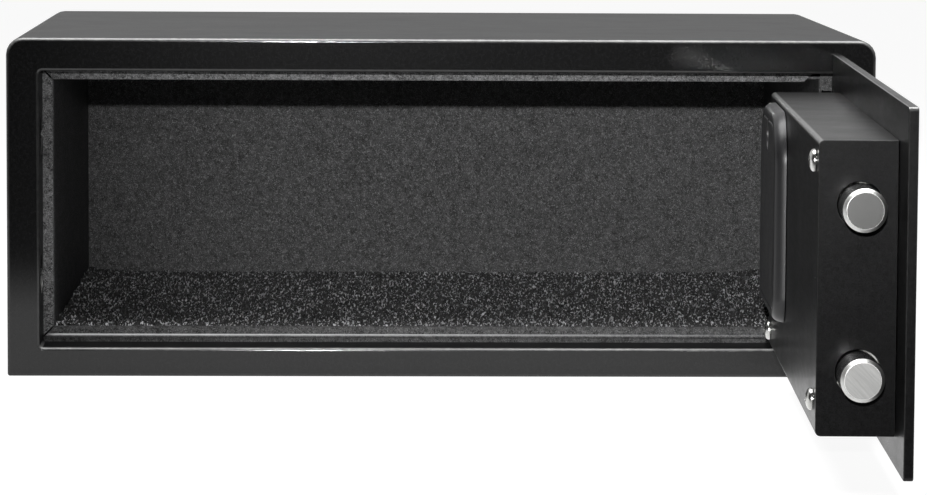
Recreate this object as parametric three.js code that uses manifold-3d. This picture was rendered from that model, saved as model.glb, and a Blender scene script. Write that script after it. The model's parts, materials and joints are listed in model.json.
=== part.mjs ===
// Under desk safe with a side hinged door, standing open
// Millimetres, +Z up. The front faces -Y and the door hinge is on the right. The pieces are
// drawn with the front wall in the plane y = 0, and the last lines centre the part on its base.
import * as THREE from "three";
import { mergeVertices } from "three/addons/utils/BufferGeometryUtils.js";
import Module from "manifold-3d";

const wasm = await Module();
wasm.setup();

// Driving dimensions of the body
const body = {
  width: 430, height: 168, depth: 308, sheet: 2,
  topRadius: 8.5, bottomRadius: 1.2, frontRound: 1.8,
};
// Borders of the front wall round the mouth, and the flange that turns inwards from it
const border = { left: 16.2, right: 19, top: 16.5, bottom: 14.4 };
const flange = { depth: 24.7, cornerRadius: 1.5, bendRadius: 1.6 };
// Flat bars behind the flange that stop the door: how far each one shows inside the mouth
const strip = {
  thickness: 3, showLeft: 5.1, showRight: 5.9, showTop: 5.5, showBottom: 7.7,
  hidden: 6, cornerGap: 0.5, lipRound: 1.4, hingeGap: 2.7,
  tabLength: 9.9, tabRadius: 2.6, middleTabShare: 0.3,
};
const liner = {
  sheet: 1.5, behindStrip: 0.3, rearSpace: 1.5, floorBelowStrip: 4.1, ceilingAboveStrip: 1.2,
};
const mat = { thickness: 2.9, sideGap: 0.4, cornerRadius: 3 };
// Anchor holes in the rear walls, closed with plugs
const anchor = {
  leftFromLinerWall: 38.7, rightFromLinerWall: 7.6, height: 49.3, holeRadius: 5.2,
  plugRadius: 4.9, headRadius: 6.4, headHeight: 0.8,
};
const gap = 0.3;
const overrun = 5;
const sharp = 0.05;

// Door plate, its overlap on the front wall and the angle at which the door stands
const plate = {
  thickness: 4.2, seatGap: 0.5, overlapHinge: 3.3, overlapFree: 2.9,
  overlapTop: 10.05, overlapBottom: 4, cornerRadius: 1.8, edgeRound: 0.6, standAngle: 87.74,
};
const hinge = {
  barrelRadius: 4.5, boreRadius: 2.5, pinRadius: 2.3, standOff: 0.5, lip: 1.9,
  knuckle: 20, joint: 0.5, fromBottom: 19, fromTop: 16, notchGap: 0.5,
  leafThickness: 2.6, leafLength: 15, pinHead: 1.6,
};
// Lock box on the inside of the door
const lockBox = {
  fromHinge: 47.4, fromFree: 37.3, depth: 33, sheet: 1.2, clearTop: 0.55, clearBottom: 1.15,
  bend: 2.2, endRound: 0.4, seatGap: 0.2,
};
const coverScrew = {
  headRadius: 4.7, headHeight: 2.4, shankRadius: 2.1, shankLength: 12, holeRadius: 2.5,
  insetFree: 11.7, insetHinge: 9.2, insetHingeLow: 17.5, topInset: 9.25, lowInset: 14,
  hingeLowInset: 8.6, postRadius: 3.3, postBoreRadius: 2.4,
};
const bolt = {
  radius: 9, axisOffset: 15.6, fromBoxEdge: 26.6, reach: 27.3, tipChamfer: 1.3, length: 60,
  stemRadius: 3.5, stemLength: 13, holeRadius: 9.6, travel: 15, socketRadius: 9.8,
};
const carrier = {
  width: 11, thickness: 12, endMargin: 8, tongueThickness: 3.6, tongueLength: 66,
  tongueAbove: 24, tongueBelow: 12, slotClear: 0.6,
};
const guide = { thickness: 3, fromEnd: 3.5, flangeLength: 18, margin: 12, boreClear: 0.5, top: 27 };
const knob = {
  fromEnd: 63.7, baseRadius: 21, gripHeight: 7.1, baseHeight: 2, gripWidth: 13, gripRound: 2,
  socketDepth: 5, spindleRadius: 4, spindleHoleRadius: 4.6, turn: 60, crankRadius: 15, crankPin: 2.5,
  crankThickness: 4, crankWidth: 7, roseRadius: 26, roseHeight: 1.2, roseChamfer: 0.5,
};
const solenoid = {
  fromKnob: 28, width: 24, height: 20, frame: 2, coilRadius: 8.5, depth: 19,
  plungerRadius: 3, bore: 3.4, collarRadius: 5, collarHeight: 2, tipClear: 0.3, stroke: 8,
  springRadius: 4.3, springWire: 0.55, springTurns: 5,
};
const keypad = {
  fromOverride: 68, width: 104, height: 92, depth: 12, cornerRadius: 9, draft: 2.4, wall: 2.2,
  floorExtra: 1.3, panelInset: 5, panelDepth: 1.2, cableRadius: 6,
  keyWidth: 21, keyHeight: 13.5, pitchX: 27, pitchZ: 18.5, keyProud: 1.6, keyRadius: 2.6,
  keyClear: 0.35, keyBody: 6, keyRound: 0.7,
};
const override = {
  fromKnob: 60, bodyRadius: 9.2, bodyLength: 24, flangeRadius: 12, flangeHeight: 1.8,
  plugRadius: 6, plugClear: 0.25, slotWidth: 1.8, slotLength: 7.2, slotDepth: 9,
  tailLength: 16, tailWidth: 6, tailThickness: 1.6, capRadius: 12.5, capHeight: 3,
  capPinRadius: 1.8, capPinReach: 17.5, nutRadius: 12.5, nutHeight: 3,
};
const board = {
  width: 84, height: 66, thickness: 1.6, standOff: 3, postRadius: 2.6, postInset: 5,
  chip: 12, chipHeight: 1.6, plugWidth: 18, plugDepth: 5, plugHeight: 6,
};
const lid = {
  fromHinge: 64, width: 108, fromBottom: 25.7, fromTop: 2.5, rise: 5.6, draft: 4, cornerRadius: 23,
  wall: 2, screwShare: 0.5, screwFromTop: 12.5, recessRadius: 7.6, recessDepth: 2.6,
  screwHeadRadius: 3.6, screwHeadHeight: 1.6, screwShank: 1.6, screwLength: 9, bossRadius: 5.8,
};
const cell = { radius: 7.1, length: 49, nubRadius: 2.7, nubHeight: 1.5, edge: 0.5, pitch: 15 };
const tray = {
  wall: 1.6, endRoom: 3.5, sideRoom: 1, floorGap: 0.4, rim: 4, rimThickness: 1.4, lift: 0.6,
  screwRoom: 2.3,
};

// Places worked out from the driving dimensions
const halfWidth = body.width / 2;
const mouthLeft = -halfWidth + border.left;
const mouthRight = halfWidth - border.right;
const mouthBottom = border.bottom;
const mouthTop = body.height - border.top;
const stripFront = flange.depth + gap;
const stripRear = stripFront + strip.thickness;
const stripLeft = mouthLeft + strip.showLeft;
const stripRight = mouthRight - strip.showRight;
const stripTop = mouthTop - strip.showTop;
const stripBottom = mouthBottom + strip.showBottom;
const linerFront = stripRear + liner.behindStrip;
const linerLeft = stripLeft + gap;
const linerRight = stripRight - gap;
const linerFloor = stripBottom - liner.floorBelowStrip;
const linerCeiling = stripTop + liner.ceilingAboveStrip;
const rearFront = body.depth - body.sheet;
const linerRear = rearFront - liner.rearSpace - liner.sheet;
const pivotX = mouthRight + plate.overlapHinge - hinge.lip;
const pivotY = -(hinge.standOff + hinge.barrelRadius);
const plateLength = mouthRight + plate.overlapHinge - (mouthLeft - plate.overlapFree);
const plateBottom = mouthBottom - plate.overlapBottom;
const plateTop = mouthTop + plate.overlapTop;
const hingeHeight = 2 * hinge.knuckle + hinge.joint + gap + hinge.pinHead;
const hingeLow = plateBottom + hinge.fromBottom;
const hingeHigh = plateTop - hinge.fromTop - hingeHeight;
const boxEnd = plateLength - lockBox.fromFree;
const boxBottom = stripBottom + lockBox.clearBottom;
const boxTop = stripTop - lockBox.clearTop;
const boxMiddle = (boxBottom + boxTop) / 2;
const boltSpread = (boxTop - boxBottom) / 2 - bolt.fromBoxEdge;
const coverInside = lockBox.depth - lockBox.sheet;
const knobAlong = boxEnd - knob.fromEnd;
const solenoidAlong = knobAlong - solenoid.fromKnob;
const overrideAlong = knobAlong - override.fromKnob;
const keypadAlong = overrideAlong - keypad.fromOverride;
const knobHalfTurn = THREE.MathUtils.degToRad(knob.turn / 2);
const crankX = -knob.crankRadius * Math.sin(knobHalfTurn);
const crankZ = knob.crankRadius * Math.cos(knobHalfTurn);
const lidTop = boxTop - lid.fromTop;
const lidBottom = boxBottom + lid.fromBottom;
const lidCentre = lid.fromHinge + lid.width / 2;
const trayHeight = 3 * cell.pitch + 2 * cell.radius + 2 * tray.sideRoom;
const trayTop = lidTop - lid.screwFromTop - lid.screwShank - tray.screwRoom - tray.rim;
const trayMiddle = trayTop - trayHeight / 2;

// Door frame of reference: x runs from the hinge line to the right, so a place that lies
// "along" the door from its hinge edge has a negative x. y runs into the safe.
const alongX = (along) => hinge.lip - along;
const innerFace = hinge.standOff + hinge.barrelRadius - plate.seatGap;
const depthY = (depth) => innerFace + depth;
const outerFace = innerFace - plate.thickness;

// Shapes made solid
function solid(geometry) {
  const bare = geometry.clone();
  bare.deleteAttribute("normal");
  bare.deleteAttribute("uv");
  const merged = mergeVertices(bare, 1e-4);
  const mesh = new wasm.Mesh({
    numProp: 3,
    vertProperties: new Float32Array(merged.attributes.position.array),
    triVerts: new Uint32Array(merged.index.array),
  });
  return new wasm.Manifold(mesh);
}

function toGeometry(manifold) {
  const mesh = manifold.getMesh();
  const geometry = new THREE.BufferGeometry();
  const points = new Float32Array(mesh.vertProperties);
  geometry.setAttribute("position", new THREE.BufferAttribute(points, 3));
  geometry.setIndex(new THREE.BufferAttribute(new Uint32Array(mesh.triVerts), 1));
  geometry.computeVertexNormals();
  return geometry;
}

function block(x0, x1, y0, y1, z0, z1) {
  const geometry = new THREE.BoxGeometry(x1 - x0, y1 - y0, z1 - z0);
  geometry.translate((x0 + x1) / 2, (y0 + y1) / 2, (z0 + z1) / 2);
  return solid(geometry);
}

// A rounded rectangle with a radius for each corner, from the lower left one anticlockwise
function roundedRect(x0, x1, z0, z1, radii) {
  const [r0, r1, r2, r3] = radii.length ? radii : Array(4).fill(radii);
  const shape = new THREE.Shape();
  shape.moveTo(x0 + r0, z0);
  shape.lineTo(x1 - r1, z0);
  if (r1) shape.absarc(x1 - r1, z0 + r1, r1, -Math.PI / 2, 0, false);
  shape.lineTo(x1, z1 - r2);
  if (r2) shape.absarc(x1 - r2, z1 - r2, r2, 0, Math.PI / 2, false);
  shape.lineTo(x0 + r3, z1);
  if (r3) shape.absarc(x0 + r3, z1 - r3, r3, Math.PI / 2, Math.PI, false);
  shape.lineTo(x0, z0 + r0);
  if (r0) shape.absarc(x0 + r0, z0 + r0, r0, Math.PI, Math.PI * 1.5, false);
  return shape;
}

// A shape drawn in x and z, pulled along y from y0 to y1
function pullY(shape, y0, y1, segments = 5) {
  const geometry = new THREE.ExtrudeGeometry(shape, {
    depth: y1 - y0, bevelEnabled: false, curveSegments: segments,
  });
  geometry.rotateX(Math.PI / 2);
  geometry.translate(0, y1, 0);
  return solid(geometry);
}

// The outline of a rounded rectangle as points at one depth, drawn in by an inset
function ring([x0, x1, z0, z1, radii], y, inset = 0, steps = 5) {
  const radius = (i) => Math.max((radii.length ? radii[i] : radii) - inset, sharp);
  const corners = [[x0, z0, 1, 1], [x1, z0, -1, 1], [x1, z1, -1, -1], [x0, z1, 1, -1]];
  const points = [];
  corners.forEach(([x, z, inX, inZ], i) => {
    const r = radius(i);
    for (let k = 0; k <= steps; k++) {
      const angle = Math.PI + (i + k / steps) * (Math.PI / 2);
      points.push([x + inX * (inset + r) + r * Math.cos(angle), y,
        z + inZ * (inset + r) + r * Math.sin(angle)]);
    }
  });
  return points;
}

// A solid through rings of equal count, one behind the other along y, closed at both ends
function loft(rings) {
  const count = rings[0].length;
  const middle = (points) => [0, 1, 2].map((k) => points.reduce((sum, p) => sum + p[k], 0) / count);
  const positions = [...rings.flat(), middle(rings[0]), middle(rings[rings.length - 1])].flat();
  const first = rings.length * count;
  const index = [];
  for (let k = 0; k < count; k++) {
    const next = (k + 1) % count;
    for (let i = 0; i < rings.length - 1; i++) {
      const a = i * count;
      index.push(a + k, a + count + k, a + next, a + next, a + count + k, a + count + next);
    }
    const end = first - count;
    index.push(first, k, next, first + 1, end + next, end + k);
  }
  const geometry = new THREE.BufferGeometry();
  geometry.setAttribute("position", new THREE.Float32BufferAttribute(positions, 3));
  geometry.setIndex(index);
  return solid(geometry);
}

// A rounded rectangle pulled along y, its outline rounded over at the ends that have a radius
function softSlab(rect, y0, y1, round0, round1, cornerSteps = 5, roundSteps = 3) {
  const end = (y, radius, inwards) => {
    const rings = [];
    const steps = radius ? roundSteps : 0;
    for (let i = 0; i <= steps; i++) {
      const turn = radius ? (i / steps) * (Math.PI / 2) : 0;
      const depth = radius * (1 - Math.sin(turn));
      rings.push(ring(rect, y + inwards * depth, radius * (1 - Math.cos(turn)), cornerSteps));
    }
    return rings;
  };
  return loft([...end(y0, round0, 1).reverse(), ...end(y1, round1, -1)]);
}

// A turned solid about y: its profile is a list of radius and y
function turnY(profile, segments = 24) {
  const points = profile.map(([r, y]) => new THREE.Vector2(r, y));
  return solid(new THREE.LatheGeometry(points, segments));
}

function rodY(radius, y0, y1, segments = 24) {
  const geometry = new THREE.CylinderGeometry(radius, radius, y1 - y0, segments);
  geometry.translate(0, (y0 + y1) / 2, 0);
  return solid(geometry);
}

function rodZ(radius, z0, z1, segments = 24) {
  const geometry = new THREE.CylinderGeometry(radius, radius, z1 - z0, segments);
  geometry.rotateX(Math.PI / 2);
  geometry.translate(0, 0, (z0 + z1) / 2);
  return solid(geometry);
}

function rodX(radius, x0, x1, segments = 24) {
  const geometry = new THREE.CylinderGeometry(radius, radius, x1 - x0, segments);
  geometry.rotateZ(Math.PI / 2);
  geometry.translate((x0 + x1) / 2, 0, 0);
  return solid(geometry);
}

// Materials
const finish = {
  powder: { color: 0x1b1b1c, roughness: 0.55, metalness: 0.35 },
  liner: { color: 0x232324, roughness: 0.8, metalness: 0.2 },
  felt: { color: 0x1e1e1f, roughness: 1, metalness: 0 },
  rubber: { color: 0x0d0d0d, roughness: 0.8, metalness: 0 },
  steel: { color: 0xb9b9b7, roughness: 0.32, metalness: 1 },
  zinc: { color: 0x9c9c98, roughness: 0.45, metalness: 1 },
  chrome: { color: 0xd8d8d6, roughness: 0.15, metalness: 1 },
  plastic: { color: 0x161617, roughness: 0.5, metalness: 0 },
  key: { color: 0x2b2b2d, roughness: 0.55, metalness: 0 },
  copper: { color: 0xa8632c, roughness: 0.4, metalness: 0.8 },
  green: { color: 0x14502c, roughness: 0.5, metalness: 0.1 },
  cell: { color: 0x3a3a3e, roughness: 0.35, metalness: 0.6 },
};

function piece(name, shape, look, place = [0, 0, 0]) {
  const geometry = shape.isBufferGeometry ? shape : toGeometry(shape);
  const mesh = new THREE.Mesh(geometry, new THREE.MeshStandardMaterial(finish[look]));
  mesh.name = name;
  mesh.position.set(...place);
  return mesh;
}

// Outer shell: top, sides, floor and front wall, with the flange turned in round the mouth
const outline = (inset) => [-halfWidth + inset, halfWidth - inset, inset, body.height - inset,
  [body.bottomRadius, body.bottomRadius, body.topRadius - inset, body.topRadius - inset]];

function outerShell() {
  const outside = softSlab(outline(0), 0, body.depth, body.frontRound, 0);
  const inside = softSlab(outline(body.sheet), body.sheet, body.depth + overrun, 0, 0);
  const sleeve = softSlab(mouthRect(body.sheet), body.sheet / 2, flange.depth, 0, 0);
  let shell = outside.subtract(inside).add(sleeve).subtract(mouthCut());
  for (const side of [-1, 1]) {
    const socket = rodX(bolt.socketRadius, mouthLeft - body.sheet * 2, mouthLeft + body.sheet)
      .translate([0, bolt.axisOffset - plate.seatGap, boxMiddle + side * boltSpread]);
    shell = shell.subtract(socket);
  }
  return shell;
}

const mouthRect = (grow) => [mouthLeft - grow, mouthRight + grow, mouthBottom - grow, mouthTop + grow,
  flange.cornerRadius + grow];

// The mouth is cut straight, and flares to the front as the bend from the wall into the flange
function mouthCut() {
  const r = flange.bendRadius;
  const steps = 4;
  const rings = [ring(mouthRect(r), -overrun)];
  for (let i = 0; i <= steps; i++) {
    const angle = (i / steps) * (Math.PI / 2);
    rings.push(ring(mouthRect(r * (1 - Math.sin(angle))), r * (1 - Math.cos(angle))));
  }
  rings.push(ring(mouthRect(0), flange.depth + overrun));
  return loft(rings);
}

function backPanel() {
  let panel = softSlab(outline(body.sheet + gap), rearFront, body.depth, 0, 0);
  for (const x of anchorPlaces()) panel = panel.subtract(anchorHole(x, anchor.holeRadius));
  return panel;
}

const anchorPlaces = () => [linerLeft + anchor.leftFromLinerWall, linerRight - anchor.rightFromLinerWall];

function anchorHole(x, radius) {
  return rodY(radius, linerRear - overrun, body.depth + overrun, 16).translate([x, 0, anchor.height]);
}

function innerLiner() {
  const s = liner.sheet;
  const outside = block(linerLeft - s, linerRight + s, linerFront, linerRear + s,
    linerFloor - s, linerCeiling + s);
  const inside = block(linerLeft, linerRight, linerFront - overrun, linerRear, linerFloor, linerCeiling);
  let box = outside.subtract(inside);
  for (const x of anchorPlaces()) box = box.subtract(anchorHole(x, anchor.holeRadius));
  return box;
}

function anchorPlug() {
  const head = linerRear - gap;
  return turnY([[0, head - anchor.headHeight], [anchor.headRadius * 0.7, head - anchor.headHeight],
    [anchor.headRadius, head - anchor.headHeight * 0.3], [anchor.headRadius, head],
    [anchor.plugRadius, head], [anchor.plugRadius, body.depth - gap], [0, body.depth - gap]], 16);
}

// Stop strips: each is drawn as its face, cut at its ends, with its inner edge rounded
function stripFace(points) {
  const shape = new THREE.Shape(points.map(([x, z]) => new THREE.Vector2(x, z)));
  return pullY(shape, stripFront, stripRear, 4);
}

function topStrip() {
  const up = mouthTop + strip.hidden;
  const left = stripLeft + strip.cornerGap;
  const right = stripRight - strip.hingeGap;
  return stripFace([[left, stripTop], [right - strip.showTop, stripTop], [right, mouthTop],
    [right, up], [left - (up - stripTop), up]]);
}

function bottomStrip() {
  const low = mouthBottom - body.sheet - strip.hidden;
  const left = stripLeft + strip.cornerGap;
  const right = mouthRight + strip.hidden;
  const bar = stripFace([[stripRight, stripBottom], [right, mouthBottom - body.sheet], [right, low],
    [left - (stripBottom - low), low], [left, stripBottom]]);
  const roll = rodX(strip.lipRound, left + strip.lipRound, stripRight - strip.lipRound, 12)
    .translate([0, stripFront + strip.lipRound / 3, stripBottom - strip.lipRound]);
  const front = stripFront - strip.lipRound;
  return bar.add(roll).subtract(block(-body.width, body.width, 0, front, 0, body.height));
}

function leftStrip() {
  const out = mouthLeft - body.sheet - strip.hidden;
  const rise = stripLeft - out;
  const g = strip.cornerGap;
  return stripFace([[stripLeft, stripBottom + g], [stripLeft, stripTop - g],
    [out, stripTop - g + rise], [out, stripBottom + g - rise]]);
}

// The strip beside the hinge is cut back between three tabs, which leaves the door room to swing
function rightStrip() {
  const out = mouthRight + body.sheet + strip.hidden;
  const high = mouthTop + strip.hidden;
  const low = stripBottom + strip.cornerGap;
  const middle = (high + low) / 2;
  const half = (high - low) * strip.middleTabShare / 2;
  const y = [stripFront, stripRear];
  const tab = (z0, z1, radii) => pullY(roundedRect(stripRight, out, z0, z1, radii), ...y, 4);
  const r = strip.tabRadius;
  const back = block(mouthRight, out, ...y, low, high);
  return back.add(tab(stripTop - strip.tabLength + strip.showTop, high, [r, 0, 0, 0]))
    .add(tab(middle - half, middle + half, [r, 0, 0, r]))
    .add(tab(low, low + strip.tabLength, [0, 0, 0, r]));
}

function floorMat() {
  const g = mat.sideGap;
  const r = mat.cornerRadius;
  const shape = roundedRect(linerLeft + g, linerRight - g, linerFront + g, linerRear - g, r);
  const geometry = new THREE.ExtrudeGeometry(shape, {
    depth: mat.thickness, bevelEnabled: false, curveSegments: 3,
  });
  geometry.translate(0, 0, linerFloor + gap);
  return geometry;
}

// A barrel hinge: one knuckle on the front wall, one on the door, and the pin through both
function wallKnuckle() {
  const h = hinge.knuckle;
  const barrel = rodZ(hinge.barrelRadius, 0, h);
  const foot = -pivotY - gap;
  const leaf = block(0, hinge.leafLength, foot - hinge.leafThickness, foot, 0, h);
  return barrel.add(leaf).subtract(rodZ(hinge.boreRadius, -overrun, h + overrun, 16));
}

function doorKnuckle() {
  const h = hinge.knuckle;
  const seat = outerFace - gap;
  const leaf = block(-hinge.leafLength - hinge.barrelRadius, 0, seat - hinge.leafThickness, seat, 0, h);
  const bore = rodZ(hinge.boreRadius, -overrun, h + overrun, 16);
  return rodZ(hinge.barrelRadius, 0, h).add(leaf).subtract(bore);
}

function hingePin() {
  const length = hinge.knuckle * 2 + hinge.joint;
  const top = length + hinge.pinHead;
  return rodZ(hinge.pinRadius, 0, length + gap, 16)
    .add(rodZ(hinge.barrelRadius * 0.9, length + gap, top + gap, 20));
}

// Door plate with its hinge notches, holes and welded posts
function doorPlate() {
  const free = alongX(plateLength);
  const r = plate.cornerRadius;
  let sheet = softSlab([free, hinge.lip, plateBottom, plateTop, r], outerFace, innerFace,
    plate.edgeRound, plate.edgeRound, 4, 2);
  const reach = hinge.barrelRadius + hinge.notchGap;
  for (const low of [hingeLow, hingeHigh]) {
    sheet = sheet.subtract(block(-reach, hinge.lip + overrun, -overrun * 2, innerFace + overrun,
      low - hinge.notchGap, low + hingeHeight + hinge.notchGap));
  }
  const y = [outerFace - overrun, innerFace + overrun];
  const hole = (radius, along, z) => rodY(radius, ...y, 20).translate([alongX(along), 0, z]);
  sheet = sheet.subtract(hole(knob.spindleHoleRadius, knobAlong, boxMiddle));
  sheet = sheet.subtract(hole(override.bodyRadius + gap, overrideAlong, boxMiddle));
  sheet = sheet.subtract(hole(keypad.cableRadius, keypadAlong, boxMiddle));
  for (const [along, z] of screwPlaces()) {
    const height = coverInside - gap;
    const post = rodY(coverScrew.postRadius, -plate.thickness / 2, height, 12)
      .subtract(rodY(coverScrew.postBoreRadius, height - coverScrew.shankLength, height + overrun, 12));
    sheet = sheet.add(post.translate([alongX(along), innerFace, z]));
  }
  for (const [along, z] of boardPosts()) {
    const post = rodY(board.postRadius, -plate.thickness / 2, board.standOff, 10);
    sheet = sheet.add(post.translate([alongX(along), innerFace, z]));
  }
  return sheet;
}

const screwPlaces = () => [
  [boxEnd - coverScrew.insetFree, boxTop - coverScrew.topInset],
  [boxEnd - coverScrew.insetFree, boxBottom + coverScrew.lowInset],
  [lockBox.fromHinge + coverScrew.insetHinge, boxTop - coverScrew.topInset],
  [lockBox.fromHinge + coverScrew.insetHingeLow, boxBottom + coverScrew.hingeLowInset],
];

const boardPosts = () => {
  const w = board.width / 2 - board.postInset;
  const h = board.height / 2 - board.postInset;
  return [[-w, -h], [w, -h], [-w, h], [w, h]].map(([a, z]) => [keypadAlong + a, boxMiddle + z]);
};

// The lock box drawn in by an inset: bent along its long edges, with flaps that close its ends
function lockBoxForm(seat, inset, endRound) {
  const bend = lockBox.bend - inset;
  const section = [depthY(seat), depthY(lockBox.depth - inset), boxBottom + inset, boxTop - inset,
    [0, bend, bend, 0]];
  const ends = [inset - alongX(lockBox.fromHinge), -alongX(boxEnd) - inset];
  return softSlab(section, ...ends, endRound, endRound, 4, 2).rotate([0, 0, 90]);
}

// Cover of the lock box, bent from sheet, with the bolt holes and the mouth of the battery tray
function lockBoxCover() {
  const x0 = alongX(boxEnd);
  const outside = lockBoxForm(lockBox.seatGap, 0, lockBox.endRound);
  let cover = outside.subtract(lockBoxForm(-overrun, lockBox.sheet, 0));
  for (const side of [-1, 1]) {
    cover = cover.subtract(rodX(bolt.holeRadius, x0 - overrun, x0 + overrun)
      .translate([0, depthY(bolt.axisOffset), boxMiddle + side * boltSpread]));
  }
  for (const [along, z] of screwPlaces()) {
    cover = cover.subtract(rodY(coverScrew.holeRadius, depthY(coverInside - overrun),
      depthY(lockBox.depth + overrun), 12).translate([alongX(along), 0, z]));
  }
  const [w, h] = trayMouth();
  const through = [depthY(coverInside - overrun), depthY(lockBox.depth + overrun)];
  const x = alongX(lidCentre);
  cover = cover.subtract(block(x - w / 2, x + w / 2, ...through, trayMiddle - h / 2, trayMiddle + h / 2));
  const [screwAlong, screwZ] = lidScrewPlace();
  const screwHole = rodY(lid.screwShank + gap, ...through, 10);
  return cover.subtract(screwHole.translate([alongX(screwAlong), 0, screwZ]));
}

function panScrew() {
  const { headRadius: r, headHeight: h, shankRadius: shank } = coverScrew;
  const edge = h / 3;
  const end = edge - coverScrew.shankLength;
  return turnY([[0, end], [shank, end], [shank, gap], [r, gap], [r, gap + edge],
    [r * 0.9, gap + h * 0.75], [r * 0.6, gap + h * 0.96], [0, gap + h]], 20);
}

// Bolts, the bar that carries them and its tongue, which the crank drives
function boltRod() {
  const { radius: r, tipChamfer: c, length: l } = bolt;
  const tip = turnY([[0, -bolt.stemLength - l], [bolt.stemRadius, -bolt.stemLength - l],
    [bolt.stemRadius, -l], [r, -l], [r, -c], [r - c, 0], [0, 0]], 32);
  return tip.rotate([0, 0, 90]);
}

const boltTip = boxEnd + bolt.reach;
const carrierAlong = boltTip - bolt.length;

function boltCarrier() {
  const x1 = alongX(carrierAlong - carrier.width - gap);
  const x0 = alongX(carrierAlong - gap);
  const y = depthY(bolt.axisOffset);
  const half = boltSpread + carrier.endMargin;
  const bar = block(x0, x1, y - carrier.thickness / 2, y + carrier.thickness / 2,
    boxMiddle - half, boxMiddle + half);
  const low = y - carrier.thickness / 2;
  const tongue = block(x1 - carrier.width / 2, x1 + carrier.tongueLength, low,
    low + carrier.tongueThickness, boxMiddle - carrier.tongueBelow, boxMiddle + carrier.tongueAbove);
  let plateBar = bar.add(tongue);
  for (const side of [-1, 1]) {
    plateBar = plateBar.subtract(rodX(bolt.stemRadius + gap, x0 - overrun, x1 + overrun)
      .translate([0, y, boxMiddle + side * boltSpread]));
  }
  const reach = [low - overrun, low + carrier.tongueThickness + overrun];
  const spindle = knob.spindleRadius + carrier.slotClear;
  const x = alongX(knobAlong);
  plateBar = plateBar.subtract(pullY(roundedRect(x - spindle, x + bolt.travel + spindle,
    boxMiddle - spindle, boxMiddle + spindle, spindle), ...reach, 6));
  const pin = knob.crankPin + carrier.slotClear;
  const px = x - crankX;
  return plateBar.subtract(pullY(roundedRect(px - pin, px + pin, boxMiddle + crankZ - pin,
    boxMiddle + knob.crankRadius + pin, pin), ...reach, 6));
}

// Guide bracket that keeps both bolts in line just inside the end of the lock box
function boltGuide() {
  const x0 = alongX(boxEnd - guide.fromEnd);
  const x1 = x0 + guide.thickness;
  const half = boltSpread + guide.margin;
  const y0 = depthY(gap);
  let bracket = block(x0, x1, y0, depthY(guide.top), boxMiddle - half, boxMiddle + half);
  for (const side of [-1, 1]) {
    bracket = bracket.subtract(rodX(bolt.radius + guide.boreClear, x0 - overrun, x1 + overrun)
      .translate([0, depthY(bolt.axisOffset), boxMiddle + side * boltSpread]));
  }
  const inner = boltSpread - guide.margin;
  const foot = block(x0, x0 + guide.flangeLength, y0, y0 + guide.thickness,
    boxMiddle - inner, boxMiddle + inner);
  return bracket.add(foot);
}

// Low knob with a raised grip, its rose, and the spindle with the crank at its inner end
function knobBody() {
  const r = knob.baseRadius;
  const top = -knob.baseHeight;
  const base = turnY([[0, 0], [r, 0], [r, top * 0.6], [r - knob.gripRound, top], [0, top]].reverse(), 32);
  const w = knob.gripWidth / 2;
  const reach = r - knob.gripRound;
  const grip = softSlab([-w, w, -reach, reach, w], -knob.gripHeight, top / 2, knob.gripRound, 0);
  const socket = rodY(knob.spindleRadius + gap, -knob.socketDepth, overrun, 16);
  return base.add(grip).subtract(socket);
}

function knobRose() {
  const { roseRadius: r, roseHeight: h, roseChamfer: c } = knob;
  const disc = turnY([[0, 0], [r, 0], [r, c - h], [r - c, -h], [0, -h]].reverse(), 28);
  return disc.subtract(rodY(knob.spindleHoleRadius, -overrun, overrun, 20));
}

function spindleWithCrank() {
  const outer = outerFace - gap - knob.roseHeight - knob.socketDepth;
  const tongueTop = bolt.axisOffset - carrier.thickness / 2 + carrier.tongueThickness;
  const crank = depthY(tongueTop + gap * 2);
  const rod = rodY(knob.spindleRadius, outer, crank + knob.crankThickness, 16);
  const w = knob.crankWidth / 2;
  const arm = softSlab([-w, w, -w, knob.crankRadius + w, w], crank, crank + knob.crankThickness, 0, 0);
  const pin = rodY(knob.crankPin, crank - carrier.tongueThickness - gap, crank + gap, 16)
    .translate([0, 0, knob.crankRadius]);
  const turned = arm.add(pin).rotate([0, THREE.MathUtils.radToDeg(knobHalfTurn), 0]);
  return rod.add(turned);
}

// Solenoid that blocks the carrier: frame with its coil, plunger and return spring
const plungerTip = boxMiddle - carrier.tongueBelow - solenoid.tipClear;
const solenoidTop = plungerTip - solenoid.stroke - solenoid.collarHeight * 2;

function solenoidBody() {
  const s = solenoid;
  const w = s.width / 2;
  const low = -s.height;
  const frame = block(-w, w, 0, s.depth, low, 0)
    .subtract(block(-w - overrun, w + overrun, s.frame, s.depth + overrun, low + s.frame, -s.frame));
  const middle = [0, s.frame + s.coilRadius, 0];
  const coil = rodZ(s.coilRadius, low + s.frame / 2, -s.frame / 2, 20).translate(middle);
  return frame.add(coil).subtract(rodZ(s.bore, low - overrun, overrun, 16).translate(middle));
}

function solenoidPlunger() {
  const s = solenoid;
  const low = -s.height / 2 - (plungerTip - solenoidTop);
  const rod = rodZ(s.plungerRadius, low, 0, 16);
  return rod.add(rodZ(s.collarRadius, -s.collarHeight * 1.5, -s.collarHeight * 0.5, 16));
}

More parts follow.
